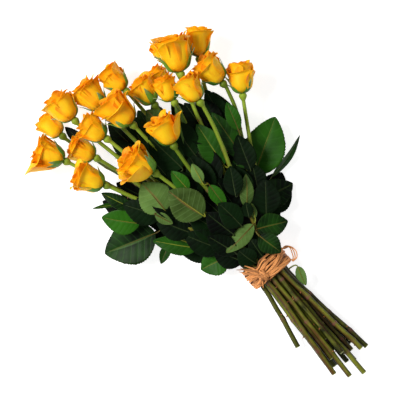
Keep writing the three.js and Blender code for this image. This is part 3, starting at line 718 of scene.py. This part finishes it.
for rose in roses:
    number = rose["number"]
    seed = np.random.default_rng(100 + number)
    grids = []
    first = math.pi / 4 + seed.uniform(-0.45, 0.45)
    for level, row in enumerate(PETAL_ROWS):
        first += math.pi / row["count"] + seed.uniform(-0.15, 0.15)
        for k in range(row["count"]):
            turn = first + math.tau * k / row["count"] + seed.uniform(-0.12, 0.12)
            grids.append(petal(rose, row, turn, seed, seed.uniform(-0.04, 0.06) if level < 2 else 0.0))
    for turn, lean in OPEN_PETALS.get(number, []):
        grids.append(petal(rose, PETAL_ROWS[0], math.radians(turn), seed, lean))
    piece = grids_mesh(f"petals_{number:02d}", grids, "painted_shade", [petal_finish])
    thicken(piece, PETAL_THICKNESS, 1)
    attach(piece, "root")
    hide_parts(f"rose_{number:02d}_bloom")

# ------------------------------------------------------------------------------------------------------
# Sepals: five narrow green leaves on each hip that clasp the foot of the bloom, with thin tips that
# stand off it.
# ------------------------------------------------------------------------------------------------------
SEPAL_STEPS = 14
SEPAL_COLUMNS = 7
SEPAL_THICKNESS = 0.5 * MM
SEPAL_GAP = 0.9 * MM


def sepal(rose, turn, length, width, flare, seed):
    """The grid of one sepal from the hip to its tip."""
    s = np.linspace(0, 1, SEPAL_STEPS)[:, None]
    across = np.linspace(-1, 1, SEPAL_COLUMNS)[None, :]
    t = s * length
    out = np.interp(np.clip(t, 0, 1), CUP_PARTS, CUP_SHARES) * rose["radius"] + SEPAL_GAP
    out = out + flare * rose["radius"] * np.clip((s - 0.3) / 0.7, 0, 1) ** 2
    up = t * rose["height"] * (1 - 0.1 * flare * s ** 2) - 0.6 * MM
    outline = np.sin(np.pi * np.clip(0.25 + 0.75 * s ** 0.8, 0, 1)) ** 0.9 + 0.05 * (1 - s)
    half = np.maximum(width * rose["radius"] * outline, 0.25 * MM)
    angle = turn + seed.uniform(-0.2, 0.2) * s + across * 0
    ring = np.cos(angle)[..., None] * rose["right"] + np.sin(angle)[..., None] * rose["top"]
    tangent = -np.sin(angle)[..., None] * rose["right"] + np.cos(angle)[..., None] * rose["top"]
    sag = half * 0.35 * across ** 2 * np.where(s < 0.7, 1, -0.4)
    points = (rose["foot"] + ring * (out - sag)[..., None] + tangent * (half * across)[..., None]
              + rose["axis"] * (up + 0 * across)[..., None])
    uv = np.stack([np.broadcast_to(across * 0.5 + 0.5, points.shape[:2]),
                   np.broadcast_to(s, points.shape[:2])], axis=-1)
    return {"points": points, "uv": uv, "tone": np.full(points.shape[:2], seed.uniform(0, 1))}


def sepal_material():
    material, tree, shader = new_material("sepal", 0.5, Specular_IOR_Level=0.4)
    uv = add_node(tree, "ShaderNodeUVMap", uv_map="blade").outputs["UV"]
    parts = add_node(tree, "ShaderNodeSeparateXYZ", {"Vector": uv})
    tone = attribute_value(tree, "tone")
    green = blend_colour(tree, tone, srgb("#3C7418"), srgb("#6EA02C"))
    tip = blend_colour(tree, spread(tree, parts.outputs["Y"], 0.55, 1.0), green, srgb("#9AAE80"))
    mottle = noise_value(tree, object_place(tree), 220)
    colour = blend_colour(tree, math_node(tree, "MULTIPLY", spread(tree, mottle, 0.4, 0.8), 0.5), tip,
                          srgb("#2C5A12"))
    tree.links.new(colour, shader.inputs["Base Color"])
    bump(tree, shader, mottle, 0.3, 0.3 * MM)
    return material


sepal_finish = sepal_material()
# The sepals stand on a bloom's sides and below it. On these blooms the side ones reach further up, by
# so many degrees, and the fifth one lies on top, so many degrees round the axis from its right side up.
SEPALS_RAISED = {1: 26, 2: 20, 3: 22, 4: 14, 5: 34, 9: 40, 10: 24, 17: 30, 18: 26, 20: 30}
SEPALS_ON_TOP = {9: 75, 11: 50, 12: 140, 15: 48, 17: 72, 18: 125, 7: 50}
for rose in roses:
    number = rose["number"]
    seed = np.random.default_rng(200 + number)
    grids = []
    raised = SEPALS_RAISED.get(number, 0)
    for turn in (8 + raised, 172 - raised, 216, 324, SEPALS_ON_TOP.get(number, 270)):
        grids.append(sepal(rose, math.radians(turn) + seed.uniform(-0.15, 0.15), seed.uniform(0.4, 0.75),
                           seed.uniform(0.18, 0.27), seed.uniform(0.0, 0.5), seed))
    piece = grids_mesh(f"sepals_{number:02d}", grids, "tone", [sepal_finish])
    thicken(piece, SEPAL_THICKNESS, 1)
    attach(piece, "root")

# ------------------------------------------------------------------------------------------------------
# Leaves: stiff serrated leaflets on thin stalks, dark and glossy above and pale below, folded along a
# ribbed midrib. Each leaflet is read from its tip in the frame: base, tip, bow, width and upper side.
# ------------------------------------------------------------------------------------------------------
LEAF_STATIONS = [0.88, 0.74, 0.58, 0.42, 0.26, 0.12, 0.03]
BLADE_THICKNESS = 1.3 * MM
STALK_WIDTH = 2.2 * MM
FORK = 0.4
LEAF_ROWS = 64
LEAF_COLUMNS = 19
LEAF_WALL = 0.4 * MM
TEETH = 17
TOOTH_DEPTH = 0.055
SIDE_VEINS = 7.5
VEIN_SLANT = 2.6
# How bright each leaflet is, from 0 for the dark ones deep in the bunch to 1, in order of their tips: partly
# painted shade and light, as the leaflets deep in the bunch are darkened and the lit ones made brighter over
# their own tone.
LEAF_TONES_AND_PAINTED_SHADE = {
    1: (0.0, 0.0), 2: (0.0, 0.0), 3: (0.05, 0.1), 4: (0.05, 0.1), 5: (0.3, 0.14), 6: (0.8, 0.4, 0.15),
    7: (0.0, 0.3, 0.62), 8: (0.35, 0.6, 0.3, 0.5), 9: (0.5, 0.3), 10: (0.8, 0.75), 11: (0.4, 0.65),
    12: (0.2, 0.75), 13: (0.35,), 14: (0.35, 0.55, 0.4), 15: (0.6,), 16: (0.45, 0.4), 17: (0.12, 0.15),
    18: (0.6,),
}


def blade_outline(s):
    return np.sin(np.pi * np.clip(s, 0, 1) ** 0.8) ** 0.75


def stalk_end(mesh):
    """The middle of the flat square end of a leaf's stalk, and the direction that it faces.

    A leaf whose stalks part right at their foot has no such end."""
    for vert in mesh.verts:
        arms = [np.array(edge.other_vert(vert).co - vert.co) for edge in vert.link_edges]
        arms = [arm for arm in arms if abs(np.linalg.norm(arm) - STALK_WIDTH / 2) < 0.02 * MM]
        crossings = [(a, b) for k, a in enumerate(arms) for b in arms[k + 1:]
                     if abs(np.dot(a, b)) < (0.1 * MM) ** 2]
        if len(arms) >= 3 and len(crossings) >= 2:
            return np.array(vert.co), unit(np.cross(*crossings[0]))
    return None


def read_leaf(number):
    """The leaflets of a leaf, and the foot of its stalk with the way that the stalk starts."""
    mesh = welded(f"leaf_{number:02d}")
    leaflets = []
    for pole in poles_of(mesh, 4):
        rings = rings_from(pole, 4)
        if len(rings) < 2:
            continue
        gaps = sorted(np.linalg.norm(a - b) for k, a in enumerate(rings[0]) for b in rings[0][k + 1:])
        if abs(gaps[0] - BLADE_THICKNESS) < 0.1 * MM:
            leaflets.append(read_leaflet(np.array(pole.co), rings))
    foot = stalk_end(mesh) or nearest_cane(leaflets)
    mesh.free()
    return leaflets, foot


def nearest_cane(leaflets):
    """The place on a stem that is nearest to the base of a leaflet, and the way from there to it."""
    places = np.concatenate([smooth_path(rose["centres"], 80) for rose in roses])
    reach = [(np.linalg.norm(places - blade["base"], axis=1).min(), k) for k, blade in enumerate(leaflets)]
    base = leaflets[min(reach)[1]]["base"]
    place = places[np.linalg.norm(places - base, axis=1).argmin()]
    return place, unit(base - place)


def read_leaflet(tip, rings):
    """Solves a leaflet's base and bow from the middles of its rings, and takes its width and side."""
    rows, targets, halves = [], [], []
    offsets, sideways = np.zeros(3), np.zeros(3)
    for s, ring in zip(LEAF_STATIONS, rings):
        pairs = [(np.linalg.norm(a - b), a, b) for k, a in enumerate(ring) for b in ring[k + 1:]]
        wide = max(pairs, key=lambda pair: pair[0])
        edges = (wide[1], wide[2])
        faces = [p for p in ring if not any(np.array_equal(p, edge) for edge in edges)]
        middle = np.mean(faces, axis=0)
        rows.append([1 - s, 4 * s * (1 - s)])
        targets.append(middle - s * tip)
        offsets = offsets + (np.mean(edges, axis=0) - middle)
        across = edges[1] - edges[0]
        sideways = sideways + (across if np.dot(across, sideways) >= 0 else -across)
        halves.append(wide[0] / 2 / blade_outline(s))
    solved = np.linalg.lstsq(np.array(rows), np.array(targets), rcond=None)[0]
    base, bow = solved
    way = unit(tip - base)
    upper = unit(offsets - np.dot(offsets, way) * way)
    side = np.cross(way, upper)
    spread_out = sum(half * blade_outline(s) for half, s in zip(halves, LEAF_STATIONS))
    return {"base": base, "tip": tip, "bow": bow, "way": way, "upper": upper, "side": unit(side),
            "half": float(np.median(halves)), "length": np.linalg.norm(tip - base),
            "fold": np.dot(offsets, upper) / spread_out}


def leaflet(blade, tone, seed, relief_share=1.0):
    """The grid of one leaflet with its teeth, its folds and the relief of its veins."""
    s = np.linspace(0, 1, LEAF_ROWS)[:, None]
    v = np.linspace(-1, 1, LEAF_COLUMNS)[None, :]
    count = max(7, round(TEETH * blade["length"] / (55 * MM)))
    tooth = np.mod(s * count, 1.0)
    teeth = 1 + TOOTH_DEPTH * (tooth - 0.5) * np.clip(s / 0.15, 0, 1)
    half = blade["half"] * blade_outline(s) * (1 + (teeth - 1) * np.abs(v) ** 6)
    size = min(1.0, blade["half"] / (10 * MM)) * relief_share
    phase = seed.uniform(0, 6.3, 3)
    rib = np.abs(v)
    vein = np.abs(np.mod(s * SIDE_VEINS - rib * VEIN_SLANT / 2.2, 1.0) - 0.5) * 2
    relief = 0.24 * MM * size * (vein ** 2 - 0.5) * np.clip(rib / 0.2, 0, 1) * (1 - rib ** 4)
    groove = -0.5 * MM * size * np.exp(-(rib / 0.07) ** 2)
    wave = 0.9 * MM * size * rib ** 2 * np.sin(2.4 * np.pi * s + phase[0] + np.sign(v) * phase[1])
    lift = blade["fold"] * half * rib * (1.05 - 0.25 * rib) + relief + groove + wave
    middle = (blade["base"] * (1 - s)[..., None] + blade["tip"] * s[..., None]
              + blade["bow"] * (4 * s * (1 - s))[..., None])
    drift = 0.04 * blade["half"] * np.sin(np.pi * s + phase[2]) * np.sin(np.pi * s)
    points = middle + blade["side"] * (half * v + drift)[..., None] + blade["upper"] * lift[..., None]
    uv = np.stack([np.broadcast_to(v * 0.5 + 0.5, half.shape), np.broadcast_to(s, half.shape)], axis=-1)
    return {"points": points, "uv": uv, "tone": np.full(half.shape, tone)}


def stalk_path(end, blade):
    """A stalk from its far end that bends into the leaflet's direction, then runs on as the midrib."""
    bend = min(blade["length"] * 0.2, np.linalg.norm(end - blade["base"]) * 0.5)
    elbow = blade["base"] - blade["way"] * bend
    t = np.linspace(0, 1, 16)[:, None]
    return (1 - t) ** 2 * end + 2 * t * (1 - t) * elbow + t ** 2 * blade["base"]


def midrib_path(blade):
    s = np.linspace(0, 0.93, 20)[:, None]
    under = -blade["upper"] * 0.25 * MM
    return blade["base"] * (1 - s) + blade["tip"] * s + blade["bow"] * 4 * s * (1 - s) + under


def leaf_vein_group():
    """A shader group: where the midrib and the side veins run on a leaflet, from 0 to 1."""
    tree = bpy.data.node_groups.new("leaf_veins", "ShaderNodeTree")
    tree.interface.new_socket("UV", in_out="INPUT", socket_type="NodeSocketVector")
    tree.interface.new_socket("Veins", in_out="OUTPUT", socket_type="NodeSocketFloat")
    tree.interface.new_socket("Midrib", in_out="OUTPUT", socket_type="NodeSocketFloat")
    tree.interface.new_socket("Edge", in_out="OUTPUT", socket_type="NodeSocketFloat")
    given = add_node(tree, "NodeGroupInput")
    parts = add_node(tree, "ShaderNodeSeparateXYZ", {"Vector": given.outputs["UV"]})
    centred = math_node(tree, "SUBTRACT", parts.outputs["X"], 0.5)
    rib = math_node(tree, "MULTIPLY", math_node(tree, "ABSOLUTE", centred), 2.0)
    shifted = math_node(tree, "SUBTRACT", math_node(tree, "MULTIPLY", parts.outputs["Y"], SIDE_VEINS),
                        math_node(tree, "MULTIPLY", rib, VEIN_SLANT / 2.2))
    saw = math_node(tree, "FRACT", math_node(tree, "ADD", shifted, 20.0))
    fold = math_node(tree, "ABSOLUTE", math_node(tree, "SUBTRACT", saw, 0.5))
    fold = math_node(tree, "MULTIPLY", fold, 2.0)
    out = add_node(tree, "NodeGroupOutput")
    tree.links.new(spread(tree, fold, 0.22, 0.0), out.inputs["Veins"])
    tree.links.new(spread(tree, rib, 0.10, 0.03), out.inputs["Midrib"])
    tree.links.new(spread(tree, rib, 0.86, 1.0), out.inputs["Edge"])
    return tree


leaf_veins = leaf_vein_group()


def leaf_material(name, roughness, dark, bright, vein, midrib, edge, coat):
    material, tree, shader = new_material(name, roughness, Specular_IOR_Level=0.08, Coat_Roughness=0.3)
    shader.inputs["Coat Weight"].default_value = coat
    uv = add_node(tree, "ShaderNodeUVMap", uv_map="blade").outputs["UV"]
    veins = add_node(tree, "ShaderNodeGroup", node_tree=leaf_veins)
    tree.links.new(uv, veins.inputs["UV"])
    place = object_place(tree)
    cloud = noise_value(tree, place, 45, 4.0)
    cells = add_node(tree, "ShaderNodeTexVoronoi", {"Vector": place, "Scale": 900.0}).outputs["Distance"]
    tone = math_node(tree, "ADD", attribute_value(tree, "tone"),
                     math_node(tree, "MULTIPLY", math_node(tree, "SUBTRACT", cloud, 0.5), 0.9), True)
    colour = blend_colour(tree, tone, srgb(dark), srgb(bright))
    colour = blend_colour(tree, math_node(tree, "MULTIPLY", veins.outputs["Veins"], 0.22), colour,
                          srgb(vein))
    colour = blend_colour(tree, math_node(tree, "MULTIPLY", veins.outputs["Edge"], 0.3), colour, srgb(edge))
    colour = blend_colour(tree, math_node(tree, "MULTIPLY", veins.outputs["Midrib"], 0.5), colour,
                          srgb(midrib))
    tree.links.new(colour, shader.inputs["Base Color"])
    height = math_node(tree, "SUBTRACT", math_node(tree, "MULTIPLY", cells, 0.35),
                       math_node(tree, "MULTIPLY", veins.outputs["Veins"], 0.6))
    bump(tree, shader, height, 0.4, 0.35 * MM)
    return material


leaf_finish = [
    leaf_material("leaf_upper", 0.48, "#041204", "#2C6410", "#3A6A2A", "#4C7030", "#28380E", 0.02),
    leaf_material("leaf_under", 0.6, "#28380F", "#6A8E46", "#78985A", "#7C5634", "#48562A", 0.0),
]
stalk_finish = stem_finish

for number in range(1, 19):
    leaflets, (stalk_foot, stalk_way) = read_leaf(number)
    leaflets.sort(key=lambda blade: blade["tip"][1])
    seed = np.random.default_rng(500 + number)
    grids = [leaflet(blade, tone, seed) for blade, tone in zip(leaflets, LEAF_TONES_AND_PAINTED_SHADE[number])]
    piece = grids_mesh(f"leaflets_{number:02d}", grids, "tone", leaf_finish)
    thicken(piece, LEAF_WALL, 0, underside=True)
    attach(piece, "root")
    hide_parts(f"leaf_{number:02d}")

    def fits(blade):
        start = stalk_path(stalk_foot, blade)
        return abs(np.dot(unit(start[1] - start[0]), stalk_way))

    main = max(leaflets, key=fits)
    main_stalk = stalk_path(stalk_foot, main)
    fork = main_stalk[round(FORK * (len(main_stalk) - 1))]
    paths = []
    for blade in leaflets:
        stalk = main_stalk if blade is main else stalk_path(fork, blade)
        line = np.concatenate([stalk, midrib_path(blade)[1:]])
        thick = np.concatenate([np.linspace(1.0, 0.75, len(stalk)),
                                np.linspace(0.75, 0.25, len(line) - len(stalk))])
        along = np.full(len(line), 0.62)
        paths.append(round_path(line, thick * MM, along, seed.uniform(0.2, 0.9)))
    stalks = run_tree(f"stalks_{number:02d}", paths_mesh(f"stalks_{number:02d}", paths), tubes,
                      {"Sides": 8, "Flatness": 1.0, "Finish": stalk_finish})
    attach(stalks, "root")

# ------------------------------------------------------------------------------------------------------
# Inner leaves: the leaflets that fill the inside of the bunch, dark and dull. Their colours are painted
# shade, darker copies of the leaf and stalk materials, and the dark layers under and between the canes
# stand in for the deep shade inside the bunch. One layer lies flat under the canes, one between the
# lower and the upper canes, and a few lie on top. Base and tip are millimetres from the tie.
# ------------------------------------------------------------------------------------------------------
# Each layer: its height at the tie, and how much it climbs towards the flowers.
LEAF_LAYERS = {"under": (2.4 * MM, 0.0), "behind": (20 * MM, 0.15), "between": (29.5 * MM, 0.17),
               "over": (34 * MM, 0.27)}
UNDER_PITCH = 1.35 * MM
OTHER_PITCH = 0.8 * MM
INNER_FOLD = 0.03
INNER_LEAFLETS = {
    "under": [
        ((-15, 25), (-40, 70), 34), ((-30, 55), (-70, 88), 40), ((-38, 80), (-84, 120), 42),
        ((-5, 40), (-12, 95), 36), ((-40, 105), (-78, 150), 40), ((-12, 70), (-28, 125), 38),
        ((-50, 130), (-80, 176), 34), ((2, 20), (4, 60), 34), ((-30, 140), (-58, 192), 40),
        ((0, 90), (-4, 148), 40), ((-20, 110), (-38, 165), 40), ((8, 60), (14, 118), 38),
        ((12, 30), (38, 68), 36), ((-4, 140), (-14, 198), 42), ((25, 50), (56, 80), 36),
        ((10, 120), (18, 178), 40), ((30, 70), (62, 110), 40), ((-10, 185), (-22, 240), 38),
        ((14, 165), (20, 218), 36), ((35, 100), (60, 152), 42), ((28, 172), (36, 218), 28),
        ((40, 140), (62, 196), 40), ((-36, 165), (-44, 214), 32), ((52, 176), (70, 214), 24),
        ((48, 52), (84, 50), 30), ((56, 62), (90, 76), 34), ((30, 40), (62, 52), 28),
        ((-76, 262), (-80, 292), 14), ((-30, 205), (-36, 262), 30), ((-20, 212), (-12, 262), 26),
        ((-42, 176), (-46, 224), 22), ((-56, 150), (-76, 198), 30), ((-84, 150), (-104, 192), 26),
        ((-2, 200), (2, 250), 30), ((12, 205), (22, 246), 22), ((-34, 186), (-47, 244), 26),
        ((38, 180), (42, 232), 28), ((66, 160), (70, 212), 28), ((82, 152), (88, 208), 22),
    ],
    "behind": [
        ((44, 118), (58, 170), 34), ((40, 165), (44, 210), 32), ((58, 165), (72, 204), 28),
        ((22, 118), (30, 172), 34), ((76, 150), (84, 200), 24), ((70, 158), (80, 212), 28),
        ((46, 170), (50, 216), 30),
    ],
    "between": [
        ((-18, 24), (-36, 60), 32), ((-8, 28), (-18, 72), 34), ((6, 24), (4, 74), 34),
        ((18, 38), (34, 84), 34), ((-28, 52), (-52, 96), 34), ((-14, 62), (-30, 112), 40),
        ((0, 62), (-6, 116), 38), ((16, 70), (20, 124), 38), ((30, 80), (46, 124), 36),
        ((-44, 92), (-66, 132), 32), ((-34, 116), (-50, 164), 40), ((-12, 110), (-18, 166), 38),
        ((6, 112), (14, 166), 34), ((22, 118), (26, 176), 36), ((60, 104), (74, 146), 28),
        ((-2, 158), (-8, 212), 36), ((20, 160), (22, 212), 34), ((-22, 158), (-24, 206), 30),
        ((-58, 130), (-84, 170), 34), ((40, 50), (66, 84), 36), ((52, 80), (66, 108), 26),
    ],
    "over": [
        ((-8, 14), (-14, 40), 26), ((4, 14), (6, 40), 24), ((-6, 58), (-14, 98), 32),
        ((8, 60), (4, 98), 30), ((26, 92), (43, 123), 24), ((22, 62), (30, 78), 16),
        ((-18, 38), (-31, 76), 26),
    ],
}


# Painted shade: a dark copy of the stalk colour for the stalks inside the bunch.
def shaded_stalk_material():
    material, tree, shader = new_material("stalk_in_shade", 0.6, Specular_IOR_Level=0.25)
    mottle = noise_value(tree, object_place(tree), 120)
    tree.links.new(blend_colour(tree, mottle, srgb("#141C0A"), srgb("#3A4A1E")), shader.inputs["Base Color"])
    bump(tree, shader, mottle, 0.2, 0.2 * MM)
    return material


seed = np.random.default_rng(900)
# Painted shade: darker, duller copies of the upper and under leaf materials.
shaded_finish = [
    leaf_material("leaf_in_shade", 0.6, "#010301", "#0E2C08", "#12301A", "#142A0E", "#0E1606", 0.0),
    leaf_material("leaf_under_in_shade", 0.65, "#101C08", "#2A4420", "#304A26", "#3C3018", "#222C12", 0.0),
]
inner_paths = []
for layer, leaflets in INNER_LEAFLETS.items():
    floor_height, climb = LEAF_LAYERS[layer]
    pitch = UNDER_PITCH if layer == "under" else OTHER_PITCH
    layer_grids = []
    for k, (base, tip, width) in enumerate(leaflets):
        height = floor_height + (k % 4) * pitch
        start, end = [np.array([tie[0] + x * MM, tie[1] + y * MM, height + climb * y * MM])
                      for x, y in (base, tip)]
        way = unit(end - start)
        side = unit(np.cross(way, UP))
        upper = np.cross(side, way)
        bow = np.zeros(3)
        if layer != "under":
            upper = unit(upper + seed.uniform(-0.3, 0.3) * side)
            side = np.cross(way, upper)
            bow = upper * seed.uniform(-1, 3) * MM
        blade = {"base": start, "tip": end, "bow": bow, "way": way, "upper": upper, "side": side,
                 "half": width / 2 * MM, "length": np.linalg.norm(end - start), "fold": INNER_FOLD}
        layer_grids.append(leaflet(blade, seed.uniform(0.0, 0.6), seed, 0.35 if layer == "under" else 1.0))
        foot, _ = nearest_cane([blade])
        line = np.concatenate([stalk_path(foot, blade), midrib_path(blade)[1:]])
        thick = np.linspace(0.9, 0.3, len(line)) * MM
        inner_paths.append(round_path(line, thick, np.full(len(line), 0.5), 0.3))
    piece = grids_mesh(f"inner_leaflets_{layer}", layer_grids, "tone", shaded_finish)
    thicken(piece, LEAF_WALL, 0, underside=True)
    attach(piece, "root")
piece = run_tree("inner_stalks", paths_mesh("inner_stalks", inner_paths), tubes,
                 {"Sides": 8, "Flatness": 1.0, "Finish": shaded_stalk_material()})
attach(piece, "root")

# ------------------------------------------------------------------------------------------------------
# Raffia: dry flat strips wound many times round the waist of the bunch, crossing each other, drawn
# together at a knot on top with frayed ends, and a slack loop at the right.
# ------------------------------------------------------------------------------------------------------
BAND_LEVELS = 5
STRIP_STEPS = 90
STRIP_FLATNESS = 0.35
KNOT_FLATNESS = 0.3
STRIP_SIDES = 10
WRAPS = 44
KNOT_STRIPS = 11
LOOP_GIRTH = 0.7 * MM
RAFFIA_FLOOR = 1.2 * MM
band_points = np.array([vert.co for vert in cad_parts["raffia_band"].data.vertices])
band_y = np.linspace(band_low.y, band_high.y, BAND_LEVELS)
band_sizes = []
for level in band_y:
    at_level = band_points[np.abs(band_points[:, 1] - level) < 0.2 * MM]
    band_sizes.append((np.ptp(at_level[:, 0]) / 2, np.ptp(at_level[:, 2]) / 2))
band_sizes = np.array(band_sizes)
KNOT_PLACE = tie[:2] + np.array([-10, -4]) * MM


def on_band(angle, y, above):
    """A point over the band's skin: angle from its right side up, and its place along the stems."""
    wide = np.interp(y, band_y, band_sizes[:, 0]) + above
    high = np.interp(y, band_y, band_sizes[:, 1]) + above
    return np.stack([tie[0] + wide * np.cos(angle), np.broadcast_to(y, np.shape(angle)),
                     tie[2] + high * np.sin(angle)], axis=-1)


def strip(points, girth, outward, tone):
    count = len(points)
    points = np.column_stack([points[:, :2], np.maximum(points[:, 2], RAFFIA_FLOOR)])
    return {"points": points, "girth": np.broadcast_to(girth, count), "along": np.linspace(0, 1, count),
            "tone": np.full(count, tone), "mark": np.zeros(count), "face": outward}


seed = np.random.default_rng(11)
knot_side = np.interp(KNOT_PLACE[1], band_y, band_sizes[:, 0])
knot_angle = math.acos(np.clip((KNOT_PLACE[0] - tie[0]) / knot_side, -1, 1))
strips = []
for k in range(WRAPS):
    turns = seed.uniform(0.7, 1.25)
    angle = seed.uniform(0, math.tau) + np.linspace(0, math.tau * turns, STRIP_STEPS)
    middle = tie[1] + seed.uniform(-12.5, 12.5) * MM
    slant = seed.uniform(-5.5, 5.5) * MM
    y = middle + slant * np.sin(angle + seed.uniform(0, 6.3))
    y = y + 0.6 * MM * np.sin(5 * angle + seed.uniform(0, 6.3))
    away = np.mod(angle - knot_angle + math.pi, math.tau) - math.pi
    y = y + (KNOT_PLACE[1] - y) * 0.35 * np.exp(-(away / 0.25) ** 2)
    y = np.clip(y, band_y[0] + 1 * MM, band_y[-1] - 1 * MM)
    # Painted shade: a wrap's tone follows its layer, how far it lies above the band, so the lower wraps come
    # out darker.
    layer = seed.uniform(0, 1)
    above = (2.6 * layer - 1.4) * MM + 0.7 * MM * np.sin(3 * angle + seed.uniform(0, 6.3))
    points = on_band(angle, y, above)
    outward = np.stack([np.cos(angle), 0 * angle, np.sin(angle)], axis=-1)
    strips.append(strip(points, seed.uniform(0.7, 1.35) * MM, outward, np.clip(layer * 1.5 - 0.25, 0, 1)))


def raffia_material():
    material, tree, shader = new_material("raffia", 0.6, Specular_IOR_Level=0.3)
    around = attribute_value(tree, "around")
    along = attribute_value(tree, "along")
    tone = attribute_value(tree, "tone")
    grain = add_node(tree, "ShaderNodeCombineXYZ", {"X": math_node(tree, "MULTIPLY", around, 46.0),
                                                    "Y": math_node(tree, "MULTIPLY", along, 9.0),
                                                    "Z": math_node(tree, "MULTIPLY", tone, 60.0)})
    fibre = noise_value(tree, grain.outputs["Vector"], 1.0, 4.0, 0.7)
    # Painted shade: the tone runs from dark brown on the low wraps to pale orange on the top ones.
    colour = blend_colour(tree, tone, srgb("#4A2208"), srgb("#FFAC64"))
    dark = math_node(tree, "MULTIPLY", spread(tree, fibre, 0.58, 0.34), 0.75)
    colour = blend_colour(tree, dark, colour, srgb("#743E14"))
    # Painted highlight: pale streaks at random along the fibres, #FFC88E.
    colour = blend_colour(tree, math_node(tree, "MULTIPLY", spread(tree, fibre, 0.58, 0.75), 0.6), colour,
                          srgb("#FFC88E"))
    tree.links.new(colour, shader.inputs["Base Color"])
    bump(tree, shader, fibre, 0.6, 0.4 * MM)
    return material


raffia_finish = raffia_material()
band = run_tree("raffia_wraps", paths_mesh("raffia_wraps", strips), tubes,
                {"Sides": STRIP_SIDES, "Flatness": STRIP_FLATNESS, "Finish": raffia_finish})
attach(band, "root")
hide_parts("raffia_band")

# The knot: strips wound over each other on top, its loose ends and the slack loop.
band_side = np.interp(tie[1], band_y, band_sizes[:, 0])
KNOT_LENGTH = 14.3 * MM
KNOT_RISE = 7 * MM


def over_band(x, y, above):
    """A point over the top of the band, x and y measured from the tie in millimetres."""
    share = math.sqrt(max(0.0, 1 - (x * MM / band_side) ** 2))
    high = np.interp(tie[1] + y * MM, band_y, band_sizes[:, 1])
    return np.array([tie[0] + x * MM, tie[1] + y * MM, tie[2] + high * share + above * MM])


knot_strips = []
knot_middle = np.array([*KNOT_PLACE, np.interp(tie[1], band_y, band_sizes[:, 1]) + tie[2] + 1.2 * MM])
for k in range(KNOT_STRIPS):
    turn = np.linspace(0, math.tau * 0.98, 40)
    lean = seed.uniform(0, math.pi)
    across = np.array([math.cos(lean), math.sin(lean), 0])
    beside = np.array([-math.sin(lean), math.cos(lean), 0]) * seed.uniform(-2.5, 2.5) * MM
    size = seed.uniform(0.72, 1.0)
    rise = np.sin(turn) * KNOT_RISE * 0.5 * size
    sweep = np.cos(turn) * KNOT_LENGTH / 2 * size
    points = knot_middle + beside + across * sweep[:, None] + rise[:, None] * UP
    outward = across * np.cos(turn)[:, None] + UP * np.sin(turn)[:, None]
    knot_strips.append(strip(points, seed.uniform(0.9, 1.6) * MM, outward, seed.uniform(0.2, 1)))
start = knot_middle + UP * 2 * MM
ends = [
    [over_band(-18, 8, 4), over_band(-26, 20, 8)], [over_band(-19, 5, 3), over_band(-30, 17, 5)],
    [over_band(-14, 9, 3), over_band(-21, 21, 7)], [over_band(-18, 4, 4), over_band(-29, 11, 6)],
    [over_band(-17, 6, 5), over_band(-24, 15, 10)], [over_band(-19, 1, 4), over_band(-27, 4, 7)],
    [over_band(-15, 7, 6), over_band(-31, 21, 4)], [over_band(-18, -9, 3), over_band(-24, -13, 7)],
    [over_band(-16, -10, 3), over_band(-20, -16, 5)],
]
for way in ends:
    points = smooth_path(np.array([start, *way]), 30)
    outward = np.broadcast_to(UP, points.shape) + seed.uniform(-0.5, 0.5, 3)
    taper = np.interp(np.linspace(0, 1, 30), [0, 0.6, 1], [1.3, 1.0, 0.4]) * MM
    knot_strips.append(strip(points, taper, outward, seed.uniform(0.3, 1)))
side_mm = band_side / MM
for shift in (0, 1, 2):
    loop = [start, over_band(6, -4 + shift, 2.5), over_band(16, -1 + shift, 3),
            over_band(side_mm * 0.9, 4 + 1.5 * shift, 5),
            tie + np.array([side_mm + 6 - shift, 5 - shift, 8]) * MM,
            tie + np.array([side_mm + 11 - 1.5 * shift, -1 + 1.5 * shift, 8 + shift]) * MM,
            tie + np.array([side_mm + 11.5 - 2.5 * shift, -9 + shift, 7]) * MM,
            tie + np.array([side_mm + 7 - 2 * shift, -15 + shift, 5]) * MM,
            tie + np.array([side_mm + 0.5, -15.5 + shift, 3]) * MM]
    points = smooth_path(np.array(loop), 60)
    outward = np.broadcast_to(UP, points.shape) + seed.uniform(-0.2, 0.2, 3)
    knot_strips.append(strip(points, LOOP_GIRTH, outward, 1.0))
knot = run_tree("raffia_tie", paths_mesh("raffia_tie", knot_strips), tubes,
                {"Sides": STRIP_SIDES, "Flatness": KNOT_FLATNESS, "Finish": raffia_finish})
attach(knot, "root")
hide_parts("raffia_knot")
